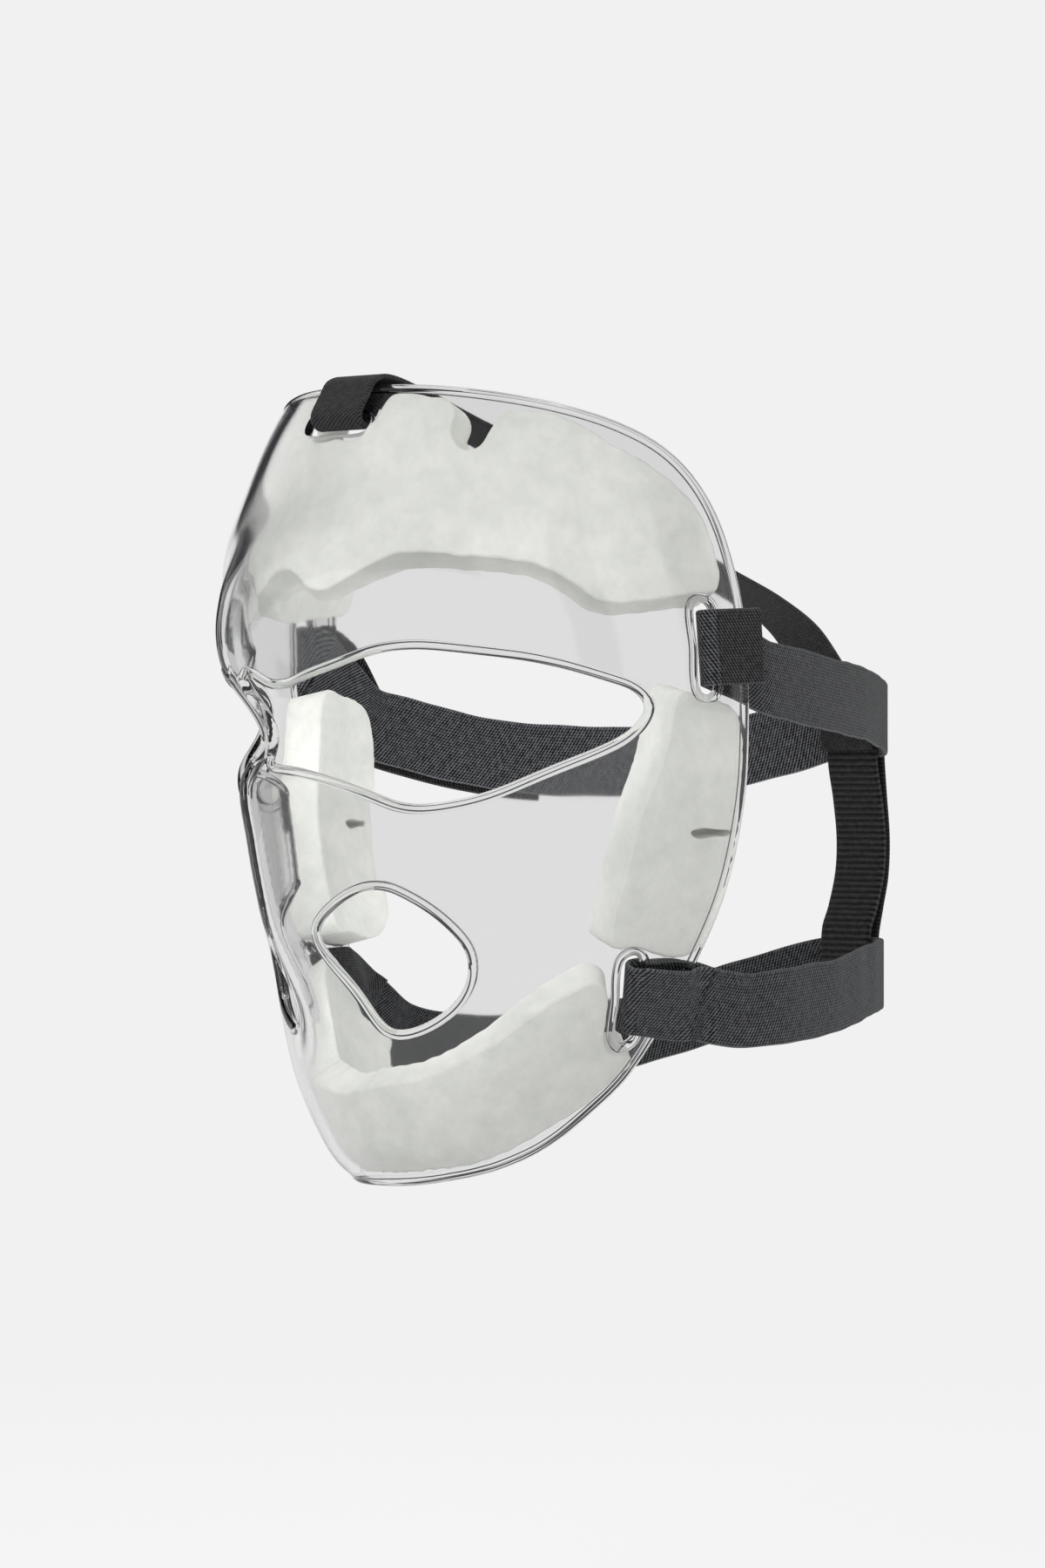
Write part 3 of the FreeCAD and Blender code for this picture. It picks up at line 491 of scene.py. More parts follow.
def pad_profile(foam, edge, bevel=0.0):
    """Small rounding at the shell side, a slanting cut side, and a rounding at the face side."""
    depth = WALL + PAD_GAP
    rows = [(0.75 * edge, depth, 0.5, 0.86), (edge, depth + PAD_LEAD, 1.0, 0.0)]
    for share in (0.25, 0.5, 0.75, 1.0):
        deep = depth + PAD_LEAD + (foam - edge - PAD_LEAD) * share
        rows.append((edge + bevel * share, deep, 1.0, 0.0))
    for i in range(1, 6):
        sine, cosine = math.sin(math.pi / 2 * i / 6), math.cos(math.pi / 2 * i / 6)
        rows.append((bevel + edge * cosine, depth + foam - edge + edge * sine, cosine, -sine))
    return rows + [(0.0, depth + foam, 0.0, -1.0)]


# Materials.
class Tree:
    """Nodes of a material or a world. An input is a constant or the output of another node."""

    def __init__(self, owner):
        owner.use_nodes = True
        self.nodes, self.links = owner.node_tree.nodes, owner.node_tree.links

    def fill(self, made, inputs):
        for socket, value in inputs.items():
            if isinstance(value, bpy.types.NodeSocket):
                self.links.new(value, made.inputs[socket])
            else:
                made.inputs[socket].default_value = value

    def put(self, kind, inputs, output=0, **settings):
        made = self.nodes.new(kind)
        for key, value in settings.items():
            setattr(made, key, value)
        self.fill(made, inputs)
        return made.outputs[output]

    def math(self, operation, *values):
        return self.put("ShaderNodeMath", dict(enumerate(values)), operation=operation)

    def noise(self, vector, scale, detail, roughness=0.5):
        inputs = {"Vector": vector, "Scale": scale, "Detail": detail, "Roughness": roughness}
        return self.put("ShaderNodeTexNoise", inputs, "Fac")

    def ranged(self, value, source, target, interpolation="LINEAR"):
        inputs = {"Value": value, "From Min": source[0], "From Max": source[1]}
        inputs |= {"To Min": target[0], "To Max": target[1]}
        return self.put("ShaderNodeMapRange", inputs, "Result", interpolation_type=interpolation)

    def mix(self, factor, first, second):
        inputs = {"Factor": factor, "A": first, "B": second}
        return self.put("ShaderNodeMix", inputs, "Result", data_type="RGBA")

    def bump(self, height, strength, distance):
        inputs = {"Height": height, "Strength": strength, "Distance": distance}
        return self.put("ShaderNodeBump", inputs, "Normal")


def linear(*srgb):
    """Linear colour of an sRGB one that is given in 0 to 255."""
    shades = [((c / 255 + 0.055) / 1.055) ** 2.4 if c > 10 else c / 255 / 12.92 for c in srgb]
    return (*shades, 1.0)


def clear_material():
    material = bpy.data.materials.new("clear_moulding")
    tree = Tree(material)
    spot = tree.put("ShaderNodeTexCoord", {}, "Object")
    shadow = tree.put("ShaderNodeLightPath", {}, "Is Shadow Ray")
    tree.fill(tree.nodes["Principled BSDF"], {
        "Base Color": (0.812, 0.815, 0.814, 1.0),
        "Transmission Weight": 1.0,
        "IOR": 1.49,
        "Roughness": tree.ranged(tree.noise(spot, 38.0, 3.0), (0.0, 1.0), (0.015, 0.07)),
        "Normal": tree.bump(tree.noise(spot, 26.0, 1.5), 0.05, 0.002),
        "Alpha": tree.math("MULTIPLY_ADD", shadow, -0.9, 1.0),
    })
    return material


def foam_material(name, dark, light):
    material = bpy.data.materials.new(name)
    tree = Tree(material)
    spot = tree.put("ShaderNodeTexCoord", {}, "Object")
    blotch = tree.math("ADD", tree.noise(spot, 22.0, 4.0), tree.noise(spot, 130.0, 5.0, 0.7))
    blotch = tree.math("MULTIPLY_ADD", blotch, 2.2, -1.7)
    cells = tree.put("ShaderNodeTexVoronoi", {"Vector": spot, "Scale": 1500.0}, "Distance")
    height = tree.math("MULTIPLY_ADD", cells, 0.6, tree.noise(spot, 900.0, 2.0))
    tree.fill(tree.nodes["Principled BSDF"], {
        "Base Color": tree.mix(blotch, linear(*dark), linear(*light)),
        "Normal": tree.bump(height, 0.35, 0.0003),
        "Roughness": 0.85,
    })
    return material


def strap_material(name, dark, light, pitch, twill=True):
    """Woven strap: u runs along it and v across it, both in millimetres."""
    material = bpy.data.materials.new(name)
    tree = Tree(material)
    uv = tree.put("ShaderNodeUVMap", {}, uv_map="weave")
    u = tree.put("ShaderNodeSeparateXYZ", {0: uv}, "X")
    v = tree.put("ShaderNodeSeparateXYZ", {0: uv}, "Y")
    slant, yarn_pitch, yarn_height = (0.55, 0.95, 0.2) if twill else (0.0, 0.9, 0.12)
    rows = tree.math("MULTIPLY_ADD", v, slant, u)
    rib = tree.math("SINE", tree.math("MULTIPLY", rows, 2 * math.pi / pitch))
    yarn = tree.math("SINE", tree.math("MULTIPLY", v, 2 * math.pi / yarn_pitch))
    weave = tree.math("MULTIPLY_ADD", rib, 0.42, tree.math("MULTIPLY", yarn, yarn_height))
    stretch = tree.put("ShaderNodeMapping", {"Vector": uv, "Scale": (0.9, 0.45, 1.0)}, "Vector")
    cloudy = tree.math("MULTIPLY_ADD", tree.noise(stretch, 0.9, 4.0), 1.5, -0.75)
    border = (STRAP / 2 - 0.75, STRAP / 2 - 0.3)
    cloudy = tree.math("ADD", cloudy, tree.ranged(tree.math("ABSOLUTE", v), border, (0.0, 0.45)))
    mixed = tree.math("ADD", tree.math("MULTIPLY_ADD", weave, 1.15, 0.36), cloudy)
    tree.fill(tree.nodes["Principled BSDF"], {
        "Base Color": tree.mix(mixed, linear(*dark), linear(*light)),
        "Normal": tree.bump(mixed, 0.7, 0.0004),
        "Roughness": 0.8,
        "Specular IOR Level": 0.25,
        "Sheen Weight": 0.06,
        "Sheen Roughness": 0.5,
    })
    return material


CLEAR_PLASTIC = clear_material()
FOAM = foam_material("closed_cell_foam", (221, 222, 217), (240, 240, 235))
TWILL = strap_material("charcoal_twill", (0, 0, 0), (76, 77, 80), 1.05)
# Lighter copy of the charcoal twill: painted light for the far upper strap, which gets less light
# inside the shell.
LIT_TWILL = strap_material("charcoal_twill_painted_lighter", (2, 2, 3), (106, 107, 112), 1.05)
TAIL_TWILL = strap_material("dark_twill", (0, 0, 0), (56, 56, 58), 1.05)
# Darker copy of the charcoal twill: painted shade for the top strap, offsetting the light that
# falls on it from above.
SHADED_TOP_TWILL = strap_material("top_twill_painted_darker", (0, 0, 0), (48, 48, 50), 1.05)
WEB = strap_material("ribbed_webbing", (0, 0, 0), (46, 46, 47), 2.0, twill=False)
PLAIN = strap_material("plain_elastic", (8, 8, 9), (36, 36, 38), 1.3, twill=False)
HOOKS = strap_material("hook_tape", (8, 8, 9), (40, 40, 42), 0.9, twill=False)
THREAD = strap_material("sewing_thread", (20, 20, 21), (58, 58, 60), 0.4)


# Shell and pads.
def shell_piece():
    loops = [smooth_loop(rim_loop(), RIM_STEP), smooth_loop(slot_loop(*TOP_SLOT), SLOT_STEP)]
    for rows in (slot_loop(*UPPER_SLOT), slot_loop(*LOWER_SLOT)):
        loops += [smooth_loop(rows, SLOT_STEP), smooth_loop(mirrored(rows), SLOT_STEP)]
    for rows in (EYE_ROWS, CHEEK_OPENING_ROWS):
        loops += [smooth_loop(rows, OPENING_STEP), smooth_loop(mirrored(rows), OPENING_STEP)]
    bead, lip = bead_profile(*RIM_BEAD), bead_profile(*SLOT_LIP)
    profiles = [bead, round_profile()] + [lip] * 4 + [bead] * 4
    reaches = [RIM_REACH, PLAIN_REACH] + [LIP_REACH] * 4 + [RIM_REACH] * 4
    mesh, normals = sheet_mesh("shell", loops, 0.0, profiles, reaches, SHELL_SPACING)
    obj = add(mesh, "clear_shell", CLEAR_PLASTIC)
    mesh.normals_split_custom_set_from_vertices(normals.tolist())
    place(obj, "mask", "shell")


def hand_cut(loop, seed):
    """A loop with the small waver of a hand-held cutter."""
    wander = random.Random(seed)
    turns = []
    for _ in range(12):
        turns.append((wander.randint(24, 95), wander.uniform(0, 6.28), wander.uniform(0.3, 1.0)))
    angle = np.linspace(0, 2 * math.pi, len(loop), endpoint=False)
    waver = sum(size * np.sin(count * angle + phase) for count, phase, size in turns) / 2.2
    return loop + np.stack([waver * CUT_WAVER * 1.4, waver[::-1] * CUT_WAVER], 1)


def pad_piece(node_name, rows, foam, seed, slits=()):
    loops = [hand_cut(smooth_loop(rows, PAD_STEP), seed)]
    loops += [smooth_loop(slit, SLIT_STEP) for slit in slits]
    profiles = [pad_profile(foam, PAD_EDGE, PAD_BEVEL), pad_profile(foam, SLIT_EDGE)]
    reaches = (PAD_REACH, SLIT_EDGE)
    depth = WALL + PAD_GAP
    mesh, _ = sheet_mesh(node_name, loops, depth, profiles, reaches, PAD_SPACING, PAD_FOLLOW)
    obj = add(mesh, node_name + "_foam", FOAM)
    place(obj, "mask", node_name)


shell_piece()
pad_piece("forehead_pad", both_halves(FOREHEAD_PAD_ROWS), FOREHEAD_FOAM, 11)
pad_piece("left_cheek_pad", CHEEK_PAD_ROWS, CHEEK_FOAM, 12, [CHEEK_SLIT_ROWS])
pad_piece("right_cheek_pad", mirrored(CHEEK_PAD_ROWS), CHEEK_FOAM, 13, [mirrored(CHEEK_SLIT_ROWS)])
pad_piece("chin_pad", both_halves(CHIN_PAD_ROWS), CHIN_FOAM, 14)

# Straps: a path is a list of (centre, width direction), in millimetres.
UPPER_LEFT_ROUTE = [
    (0.950, 0.13, -0.040), (0.915, 0.22, -0.047), (0.845, 0.34, -0.055), (0.755, 0.46, -0.061),
    (0.625, 0.60, -0.066), (0.48, 0.73, -0.071), (0.35, 0.835, -0.076), (0.24, 0.925, -0.081),
    (0.14, 0.990, -0.087), (0.06, 1.0, -0.088), (0.004, 1.0, -0.088),
]
UPPER_RIGHT_ROUTE = [
    (0.950, 0.13, -0.088), (0.915, 0.22, -0.104), (0.845, 0.34, -0.123), (0.755, 0.46, -0.1355),
    (0.625, 0.60, -0.140), (0.48, 0.73, -0.138), (0.35, 0.835, -0.129), (0.24, 0.925, -0.112),
    (0.14, 0.990, -0.094), (0.06, 1.0, -0.089), (0.004, 1.0, -0.088),
]
LOWER_LEFT_ROUTE = [
    (0.826, 0.026, -0.436), (0.838, 0.070, -0.441), (0.853, 0.135, -0.446), (0.865, 0.22, -0.4425),
    (0.835, 0.33, -0.4375), (0.765, 0.45, -0.432), (0.645, 0.59, -0.4225), (0.505, 0.72, -0.417),
    (0.37, 0.825, -0.415), (0.245, 0.915, -0.415), (0.14, 0.972, -0.416), (0.06, 0.980, -0.416),
    (0.004, 0.980, -0.416),
]
LOWER_RIGHT_ROUTE = [
    (0.832, 0.026, -0.440), (0.842, 0.070, -0.458), (0.853, 0.135, -0.484), (0.865, 0.22, -0.505),
    (0.835, 0.33, -0.516), (0.765, 0.45, -0.518), (0.645, 0.59, -0.508), (0.505, 0.72, -0.485),
    (0.37, 0.825, -0.457), (0.245, 0.915, -0.434), (0.14, 0.972, -0.419), (0.06, 0.980, -0.416),
    (0.004, 0.980, -0.416),
]
# Shares of the way back from the crown's rim, then of the height.
TOP_ROUTE = [
    (0.998, -0.125), (0.991, -0.088), (0.966, -0.055), (0.932, -0.012), (0.879, 0.034),
    (0.800, 0.070), (0.686, 0.108), (0.557, 0.156), (0.415, 0.208), (0.272, 0.254), (0.143, 0.293),
    (0.065, 0.3175), (0.0175, 0.3265),
]
TOP_RISE = (0.3175, 0.305, 0.293)
TOP_TAIL_ROUTE = [(0.303, 1.0), (0.3185, 1.27)]
WEBBING_ROUTE = [
    (0.992, -0.045), (1.0, -0.088), (1.0, -0.142), (1.015, -0.188), (1.026, -0.24), (1.022, -0.285),
    (1.001, -0.33), (0.981, -0.360), (0.977, -0.416), (0.977, -0.465),
]
ELASTIC_ROUTE = [
    (1.0, -0.045), (1.0, -0.088), (1.0, -0.13), (1.006, -0.175), (1.016, -0.24), (1.012, -0.29),
    (0.997, -0.33), (0.983, -0.37), (0.981, -0.416), (0.981, -0.46),
]
UPRIGHT, SIDEWAYS, REARWARD = Vector((0, 0, 1)), Vector((1, 0, 0)), Vector((0, 1, 0))
STEP_SHARES = (0.0, 0.3, 0.6, 1.0)
# Where the side straps pass the rim: a depth share, then the height share of each upper one.
UPPER_RIM, UPPER_LEFT_RIM, UPPER_RIGHT_RIM = 0.083, -0.022, -0.052
LOWER_RIM = -0.012
# Each stitched square at the back: its strap's depth share and height share.
SQUARES = {"upper": (1.0, -0.088), "lower": (0.9812, -0.416)}


def even_path(path, step=1.5):
    points = [point for point, _ in path]
    last = len(points) - 1
    spans = [(points[i + 1] - points[i]).length for i in range(last)]
    tangents = []
    for i in range(last + 1):
        low, high = max(i - 1, 0), min(i + 1, last)
        tangents.append((points[high] - points[low]) / sum(spans[low:high]))
    even = []
    for i, span in enumerate(spans):
        parts = math.ceil(span / step)
        for part in range(parts):
            t = part / parts
            t2, t3 = t**2, t**3
            point = points[i] * (2 * t3 - 3 * t2 + 1) + points[i + 1] * (3 * t2 - 2 * t3)
            bend = tangents[i] * (span * (t3 - 2 * t2 + t)) + tangents[i + 1] * (span * (t3 - t2))
            direction = (path[i][1] * (1 - t) + path[i + 1][1] * t).normalized()
            even.append((point + bend, direction))
    return even + [path[-1]]


def path_start(path, length):
    start, covered = [path[0]], 0.0
    for before, after in zip(path, path[1:]):
        covered += (after[0] - before[0]).length
        if covered > length:
            break
        start.append(after)
    return start


def path_rest(path, length):
    return path[len(path_start(path, length)):]


def path_frames(path):
    """Centre, width direction, normal and direction of travel at each point of a path."""
    frames = []
    for i, (centre, direction) in enumerate(path):
        along = (path[min(i + 1, len(path) - 1)][0] - path[max(i - 1, 0)][0]).normalized()
        direction = (direction - along * direction.dot(along)).normalized()
        frames.append((centre, direction, along.cross(direction), along))
    return frames


def following_path(path, lift, drop=0.0):
    return [(c + n * lift - d * drop, d) for c, d, n, _ in path_frames(path)]


def mirrored_path(path, side):
    if side > 0:
        return path
    return [(Vector((-c.x, c.y, c.z)), Vector((-d.x, d.y, d.z))) for c, d in path]


def slot_direction(slot):
    across, up, tilt = slot
    rise = Vector(face(across, up + 0.01)[0] - face(across, up - 0.01)[0]).normalized()
    forward = Vector(face(across - 0.01, up)[0] - face(across, up)[0]).normalized()
    lean = math.radians(tilt)
    return (rise * math.cos(lean) + forward * math.sin(lean)).normalized()


def fold_turn(middle, forward, normal):
    """Half a turn round the shell's bar, from its inner side to its outer side."""
    turn = []
    for degrees in FOLD_TURNS:
        angle = math.radians(degrees)
        step = forward * (FOLD_RADIUS * math.cos(angle))
        turn.append(middle + step + normal * (FOLD_RADIUS * math.sin(angle)))
    return turn


def side_fold(slot):
    across, up, _ = slot
    direction = slot_direction(slot)
    forward = Vector(face(across - 0.01, up)[0] - face(across, up)[0])
    forward = (forward - direction * forward.dot(direction)).normalized()
    normal = direction.cross(forward).normalized()
    middle = Vector(face(across, up)[0]) - forward * (SLOT_WIDTH / 2) - normal * FOLD_DEPTH
    return fold_turn(middle, forward, normal), forward, direction


def free_path(route, direction):
    points = [Vector((HALF_WIDTH * a, BACK_REACH * b, HEIGHT * u)) for a, b, u in route][::-1]
    path = [(point, UPRIGHT) for point in points]
    path[-1] = (points[-1], (UPRIGHT + direction).normalized())
    return path


def rim_point(depth_share, up, offset):
    return offset_point(across_at(depth_share, up), up, offset)


def mapped_mesh(name, verts, faces, maps, material, smooth_caps):
    """Mesh with a weave map in millimetres. Its caps are the faces without four corners."""
    mesh = bpy.data.meshes.new(name)
    mesh.from_pydata([tuple(v) for v in verts], [], faces)
    layer = mesh.uv_layers.new(name="weave")
    for loop in mesh.loops:
        layer.data[loop.index].uv = maps[loop.vertex_index]
    for polygon in mesh.polygons:
        polygon.use_smooth = smooth_caps or len(polygon.vertices) == 4
    return add(mesh, name, material)


def tube_faces(base, rows, count):
    """Sides and caps of a closed tube of rings."""
    faces = []
    for low in range(base, base + (rows - 1) * count, count):
        for j in range(count):
            k = (j + 1) % count
            faces.append((low + j, low + k, low + count + k, low + count + j))
    faces.append(tuple(range(base, base + count))[::-1])
    faces.append(tuple(range(base + (rows - 1) * count, base + rows * count)))
    return faces


def band_section(half, radius):
    """Section of a band: flat faces with eleven points each, and rounded selvedges."""
    angles = (0.26, 0.79, 1.57, 2.36, 2.88)
    round_edge = [(half - radius + radius * math.sin(a), radius * math.cos(a)) for a in angles]
    top = [(x, radius) for x in np.linspace(-(half - radius), half - radius, 11)]
    one_side = top + round_edge
    return one_side + [(-x, -z) for x, z in one_side]


def calm_at(length, total):
    """Share of the ripple: none near the ends of a strap, where it is held."""
    held, rise, fall = 45, 30, 25
    first = min(max((length - held) / rise, 0.0), 1.0)
    return first * min(max((total - length - held) / fall, 0.0), 1.0)


def ribbon(
    name, path, width, thick, material, sink=0.0, step=1.5, ribs=0.0, rib_pitch=2.0, start=0.0,
    wavy=0.0, seed=0, ripple=0.0,
):
    """Woven band about a path. Gives the object and the length at the path's end."""
    path = even_path(path, step)
    frames = path_frames(path)
    half, selvedge = width / 2, 1.2
    section = band_section(half, thick / 2)
    wander = random.Random(seed)
    phases = [wander.uniform(0, 6.28) for _ in range(4)]
    verts, maps, length = [], [], start
    total = start + sum((b[0] - a[0]).length for a, b in zip(frames, frames[1:]))
    for i, (centre, direction, normal, _) in enumerate(frames):
        if i:
            length += (centre - frames[i - 1][0]).length
        rib = ribs * math.sin(2 * math.pi * length / rib_pitch)
        waves = math.sin(length / 7.3 + phases[0]) + 0.6 * math.sin(length / 3.1 + phases[1])
        swells = math.sin(length / 4.3 + phases[2]) + 0.7 * math.sin(length / 7.9 + phases[3])
        nudge, swell = wavy * waves, ripple * calm_at(length, total) * swells
        for x, z in section:
            flat = max(min(1.0, (half - abs(x)) / selvedge), 0.0)
            lift = z + math.copysign(rib * flat, z) + sink + swell * (0.6 + 0.4 * x / half)
            place_at = centre + direction * (x + nudge * (x / half) ** 3) + normal * lift
            verts.append(place_at * MM)
            maps.append((length, x))
    faces = tube_faces(0, len(frames), len(section))
    return mapped_mesh(name, verts, faces, maps, material, False), length


def stitch_mesh(name, lines):
    """Rows of separate stitches: each line is (start, end, normal, pitch) in millimetres."""
    verts, faces, maps = [], [], []
    rings, corners, thread = 7, 8, 0.42
    for start, end, normal, pitch in lines:
        along = (end - start).normalized()
        side = normal.cross(along).normalized()
        count = max(int((end - start).length / pitch), 1)
        for i in range(count):
            centre = start + (end - start) * ((i + 0.5) / count)
            faces += tube_faces(len(verts), rings, corners)
            for ring in range(rings):
                t = ring / (rings - 1) * 2 - 1
                swell = math.sqrt(max(1 - t * t, 0.03))
                dip = -0.25 * thread * t * t
                for k in range(corners):
                    angle = 2 * math.pi * k / corners
                    place_at = centre + along * (t * STITCH_LENGTH / 2)
                    place_at += side * (thread * swell * math.cos(angle))
                    place_at += normal * (thread * 0.7 * swell * math.sin(angle) + dip)
                    verts.append(place_at * MM)
                    maps.append((t * STITCH_LENGTH / 2, k * 0.1))
    return mapped_mesh(name, verts, faces, maps, THREAD, True)


def frame_at(path, length):
    """The frame at a length along a path."""
    frames = path_frames(path)
    covered = 0.0
    for low, high in zip(frames, frames[1:]):
        span = (high[0] - low[0]).length
        if covered + span >= length:
            break
        covered += span
    t = (length - covered) / span
    return [a * (1 - t) + b * t for a, b in zip(low, high)]


def seam_lines(path, place_at, side):
    """Short slanting rows of stitches across a strap about a place on its path."""
    path = mirrored_path(path, side)
    reach, lift = STRAP / 2 - 1.0, THICK / 2 + LAYER
    stops = []
    for share in np.linspace(-1, 1, 6):
        centre, direction, normal, _ = frame_at(path, place_at + SEAM_SLANT * share)
        normal = normal.normalized() * side
        stops.append((centre + direction * (reach * share) + normal * lift, normal))
    return [(a[0], b[0], a[1], 2.2) for a, b in zip(stops, stops[1:])]


def along_direction(points, direction):
    return [(point, direction) for point in points]


def upper_strap(side_name, route, side, rim_up, seed, cloth, slid=0.0):
    """Gives the free course, the corner where the tail starts, its directions and its length."""
    turn, forward, direction = side_fold(UPPER_SLOT)
    turn = [point - direction * slid for point in turn]
    free = free_path(route, direction)
    rim = rim_point(UPPER_RIM, rim_up, -INSIDE_DEPTH)
    path = mirrored_path(free + along_direction([rim] + turn, direction), side)
    name = f"upper_{side_name}_strap"
    obj, length = ribbon(
        name + "_cloth", path, STRAP, THICK, cloth, wavy=0.15, seed=seed, ripple=0.15
    )
    place(obj, "mask", name)
    return free, turn[-1], forward, direction, length


def tail_lead(corner, forward, direction, lead):
    """The free end's path from its fold, past a small gap, along the face."""
    start = corner - forward * TAIL_GAP
    points = [start - forward * (lead * share) for share in STEP_SHARES]
    return along_direction([corner] + points, direction)


def tail_piece(name, path, length, node_name, step=1.5):
    """A free end from its fold onwards, left as a plain mesh in the scene."""
    obj, _ = ribbon(name, path, STRAP, THICK, TAIL_TWILL, start=length, step=step)
    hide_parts(node_name)
    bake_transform(obj)


def upper_straps():
    _, corner, forward, direction, length = upper_strap(
        "left", UPPER_LEFT_ROUTE, 1, UPPER_LEFT_RIM, 1, TWILL
    )
    tail = tail_lead(corner, forward, direction, SIDE_TAIL)
    tail_piece(
        "upper_left_tail_cloth", tail, length,
        "upper_left_strap_tail", step=1.0,
    )
    # The far upper strap wears the lighter twill copy, painted light for its dim place inside the
    # shell.
    free, corner, forward, direction, length = upper_strap(
        "right", UPPER_RIGHT_ROUTE, -1, UPPER_RIGHT_RIM, 2, LIT_TWILL, RIGHT_SLID
    )
    lift = THICK + TAIL_GAP + HOOK + LAYER
    beside = following_path(even_path(free[::-1], ROUTE_STEP), lift, TAIL_DROP)
    beside = path_start(beside, LONG_TAIL)
    tail = mirrored_path(tail_lead(corner, forward, direction, TAIL_LEAD) + beside, -1)
    tail_piece(
        "upper_right_tail_cloth", tail, length,
        "upper_right_strap_tail",
    )
    hooks, sink = mirrored_path(beside[2:], -1), THICK / 2 + LAYER + HOOK / 2
    obj, _ = ribbon(
        "upper_right_hook_tape", hooks, STRAP - 2 * HOOK_MARGIN, HOOK, HOOKS, sink=sink
    )
    place(obj, "right_tail", "upper_right_tail_hooks")
    rows = seam_lines(beside, LONG_TAIL - TAIL_SEAM_INSET, -1)
    obj = stitch_mesh("upper_right_tail_stitches", rows)
    place(obj, "right_tail", "upper_right_tail_seam")


def lower_strap(side_name, route, side, seed):
    turn, _, direction = side_fold(LOWER_SLOT)
    up = LOWER_SLOT[1]
    outer = rim_point(LOWER_RIM, up, CLEAR + RIM_ROOM + THICK / 2)
    inner = rim_point(LOWER_RIM, up, -INSIDE_DEPTH)
    free = free_path(route, direction)
    fold = along_direction([outer] + turn[::-1] + [inner], direction)
    sewn = even_path(free[::-1], ROUTE_STEP)
    end = path_start(following_path(sewn, -THICK - BACK_GAP), TURN_IN)[1:]
    path = mirrored_path(free + fold + end, side)
    obj, _ = ribbon(
        f"lower_{side_name}_strap_cloth", path, STRAP, THICK, TWILL, wavy=0.15, seed=seed,
        ripple=0.4,
    )
    place(obj, "mask", f"lower_{side_name}_strap")
    rows = seam_lines(even_path([(outer, direction)] + free[::-1]), SEAM_INSET, side)
    obj = stitch_mesh(f"lower_{side_name}_stitches", rows)
    place(obj, "mask", f"lower_{side_name}_seam")


def top_strap():
    crown = face(0.0, RIM_TOP)[0, 1]
    reach = BACK_REACH - TOP_LAYER - crown
    free = [Vector((0, crown + reach * back, HEIGHT * up)) for back, up in TOP_ROUTE]
    across, up, _ = TOP_SLOT
    edge = up + SLOT_WIDTH / 2 / HEIGHT
    at = Vector(face(across, edge)[0])
    normal = Vector(slopes(across, edge)[2][0])
    down = Vector(face(across, edge - 0.01)[0] - face(across, edge)[0]).normalized()
    turn = fold_turn(at - normal * FOLD_DEPTH, down, normal)[::-1]
    over = [offset_point(0.0, share, CLEAR + THICK / 2) for share in TOP_RISE]
    path = along_direction(free + over + turn, SIDEWAYS)
    # The top strap wears the darker twill copy, painted shade against the light from above.
    obj, length = ribbon("top_strap_cloth", path, STRAP, THICK, SHADED_TOP_TWILL, wavy=0.1, seed=5)
    place(obj, "mask", "top_strap")
    lift = THICK + TAIL_GAP + HOOK + LAYER
    beside = even_path(along_direction(free[::-1], SIDEWAYS), ROUTE_STEP)
    beside = path_start(path_rest(following_path(beside, lift), TOP_LEAD), TOP_TAIL)
    corner = turn[-1]
    lead = [corner, corner - down * TAIL_GAP]
    lead += [offset_point(0.0, share, -INSIDE_DEPTH * deep) for share, deep in TOP_TAIL_ROUTE]
    tail = along_direction(lead, SIDEWAYS) + beside
    tail_piece("top_tail_cloth", tail, length, "top_strap_tail")
    sink = -(THICK / 2 + LAYER + HOOK / 2)
    width = STRAP - 2 * HOOK_MARGIN
    obj, _ = ribbon("top_hook_tape", beside[2:], width, HOOK, HOOKS, sink=sink)
    place(obj, "top_tail", "top_strap_tail_hooks")


def back_path(reach, route):
    return [(Vector((0, reach * share, HEIGHT * up)), SIDEWAYS) for share, up in route]


def back_pieces():
    path = back_path(BACK_REACH - THICK / 2 - BACK_GAP - WEBBING / 2, WEBBING_ROUTE)
    obj, _ = ribbon("ribbed_webbing", path, STRAP - 1.0, WEBBING, WEB, step=0.25, ribs=0.42)
    place(obj, "mask", "back_webbing")
    outer = BACK_REACH + THICK + BACK_GAP
    obj, _ = ribbon(
        "plain_back_elastic", back_path(outer, ELASTIC_ROUTE), BACK_WIDTH, THICK, PLAIN,
        step=0.5, ribs=0.06, rib_pitch=1.3,
    )
    place(obj, "mask", "back_elastic")
    half, lift = STITCH_BOX / 2 - 0.6, THICK / 2 + 0.15
    for name, (share, up) in SQUARES.items():
        corners = []
        for x, z in ((-half, -half), (half, -half), (half, half), (-half, half)):
            corners.append(Vector((x, outer * share + lift, HEIGHT * up + z)))
        ends = [(0, 1), (1, 2), (2, 3), (3, 0), (0, 2), (1, 3)]
        lines = [(corners[i], corners[j], REARWARD, 2.3) for i, j in ends]
        obj = stitch_mesh(f"{name}_back_stitches", lines)
        place(obj, "mask", f"{name}_back_stitching")


upper_straps()
lower_strap("left", LOWER_LEFT_ROUTE, 1, 3)
lower_strap("right", LOWER_RIGHT_ROUTE, -1, 4)
top_strap()
back_pieces()


# Studio: a pale sweep, soft world light and three large lamps.
PALE, DARK = linear(241, 241, 241), linear(52, 53, 55)
CENTRE = Vector((0, 0.02, -0.04))


def seen_rays(tree):
    """One for rays that show the room itself, and zero for light that a matt surface scatters."""
    path = tree.nodes.new("ShaderNodeLightPath").outputs
    bent = tree.math("MAXIMUM", path["Is Glossy Ray"], path["Is Transmission Ray"])
    seen = tree.math("MAXIMUM", path["Is Camera Ray"], bent)
    scattered = tree.math("MINIMUM", path["Diffuse Depth"], 1.0)
    return tree.math("SUBTRACT", seen, tree.math("MULTIPLY", seen, scattered))


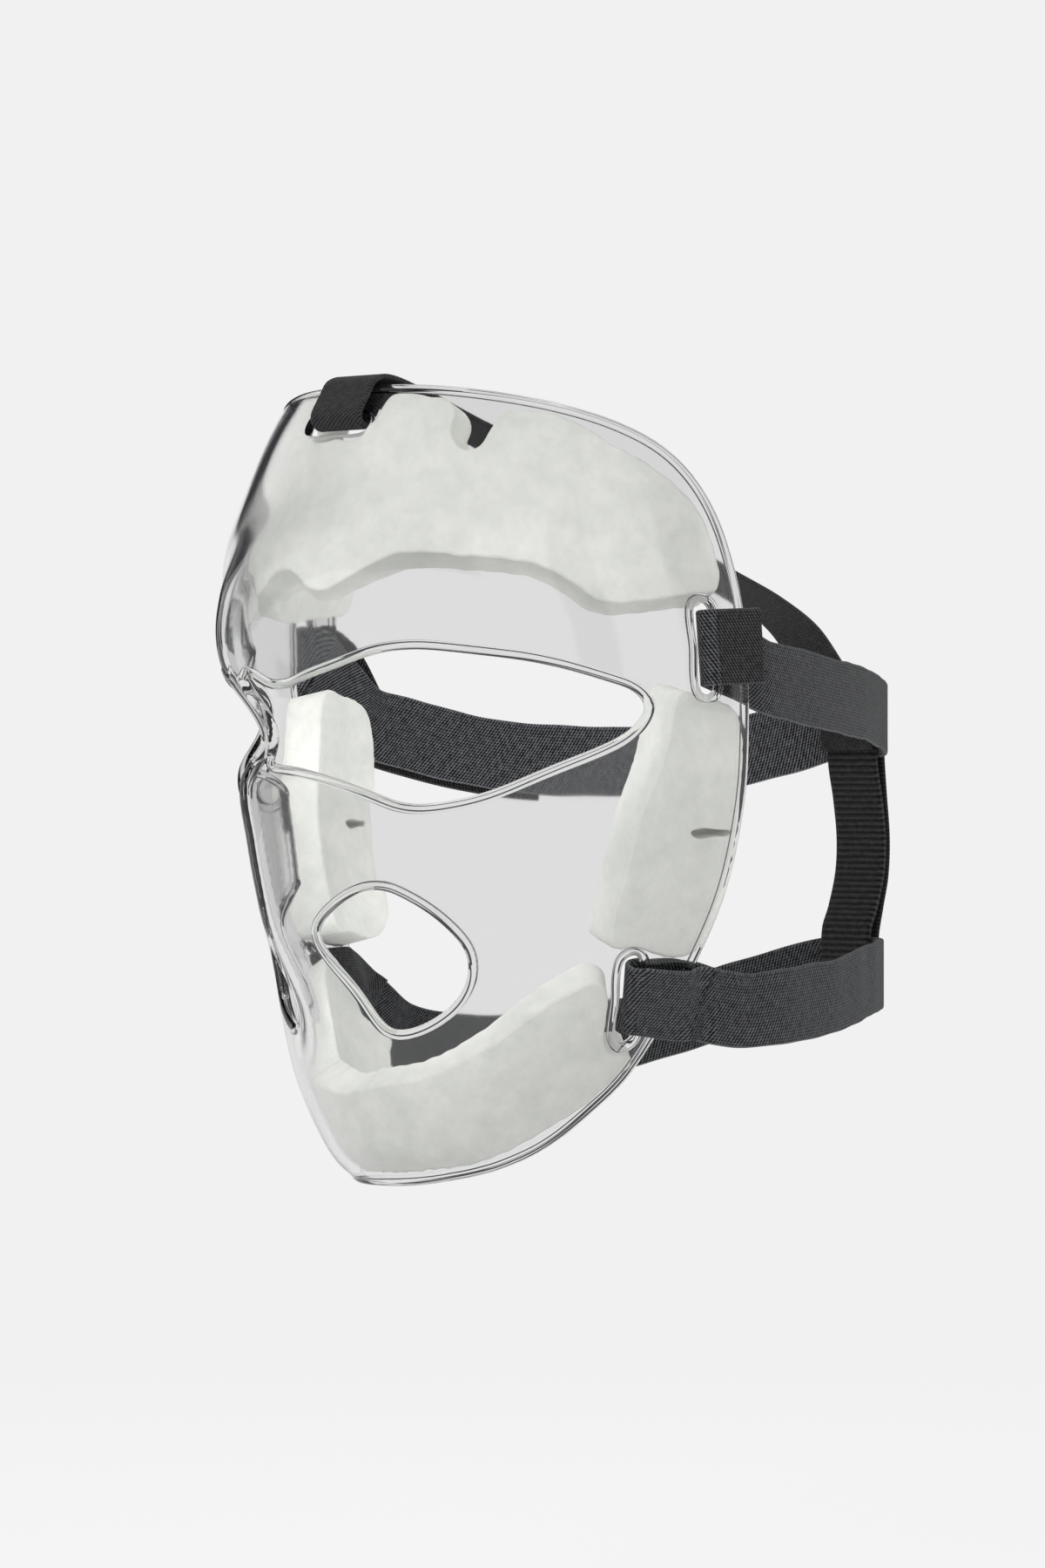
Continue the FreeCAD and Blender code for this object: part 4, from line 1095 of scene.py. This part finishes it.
def room(tree, ray):
    """Pale room with eight windows, dark strips between them and a dark ceiling."""
    sides = []
    for axis in (RIGHT, toward):
        inputs = {0: ray, 1: tuple(axis)}
        sides.append(tree.put("ShaderNodeVectorMath", inputs, "Value", operation="DOT_PRODUCT"))
    window = tree.math("COSINE", tree.math("MULTIPLY", tree.math("ARCTAN2", *sides), 8.0))
    rise = tree.put("ShaderNodeSeparateXYZ", {0: ray}, "Z")
    strips = tree.ranged(window, (-0.1, -0.6), (0.0, 1.0), "SMOOTHSTEP")
    ceiling = tree.ranged(rise, (0.35, 0.7), (0.0, 1.0), "SMOOTHSTEP")
    return tree.mix(tree.math("MAXIMUM", strips, ceiling), PALE, DARK)


def world():
    scene.world = bpy.data.worlds.new("studio")
    tree = Tree(scene.world)
    ray = tree.put("ShaderNodeTexCoord", {}, "Generated")
    direct = tree.put("ShaderNodeLightPath", {}, "Is Camera Ray")
    lit = tree.mix(seen_rays(tree), (0.95, 0.96, 0.96, 1.0), room(tree, ray))
    inputs = {"Color": tree.mix(direct, lit, PALE), "Strength": 1.0}
    tree.fill(tree.nodes["Background"], inputs)


def floor():
    mesh = bpy.data.meshes.new("floor")
    reach, low = 12.0, -0.30
    corners = [(x * reach, y * reach, low) for x, y in ((-1, -1), (1, -1), (1, 1), (-1, 1))]
    mesh.from_pydata(corners, [], [(0, 1, 2, 3)])
    material = bpy.data.materials.new("pale_floor")
    tree = Tree(material)
    tree.nodes.clear()
    spot = tree.put("ShaderNodeTexCoord", {}, "Object")
    distance = tree.put("ShaderNodeVectorMath", {0: spot}, "Value", operation="LENGTH")
    fade = tree.ranged(distance, (0.35, 0.9), (0.9, 1.0))
    amount = tree.math("MULTIPLY", seen_rays(tree), fade)
    matt = tree.put("ShaderNodeBsdfDiffuse", {"Color": (0.8, 0.8, 0.8, 1.0)})
    glow = tree.put("ShaderNodeEmission", {"Color": PALE})
    shown = tree.put("ShaderNodeMixShader", {0: amount, 1: matt, 2: glow})
    tree.fill(tree.nodes.new("ShaderNodeOutputMaterial"), {0: shown})
    add(mesh, "pale_floor", material)


def lamp(name, place_at, size, power):
    data = bpy.data.lights.new(name, "AREA")
    data.shape = "RECTANGLE"
    data.size, data.size_y = size
    data.energy = power
    obj = bpy.data.objects.new(name, data)
    obj.location = place_at
    obj.rotation_mode = "QUATERNION"
    obj.rotation_quaternion = (place_at - CENTRE).to_track_quat("Z", "Y")
    obj.visible_glossy = False
    obj.visible_transmission = False
    scene.collection.objects.link(obj)


world()
floor()
lamp("key_light", CENTRE + toward * 1.2 - RIGHT * 1.1 + UPRIGHT * 1.1, (1.0, 1.0), 28)
lamp("fill_light", CENTRE + toward * 1.4 + RIGHT * 1.2 + UPRIGHT * 0.4, (1.0, 1.4), 14)
lamp("back_light", CENTRE - toward * 1.3 + UPRIGHT * 1.2, (1.4, 0.8), 8)
scene.view_settings.view_transform = "Standard"
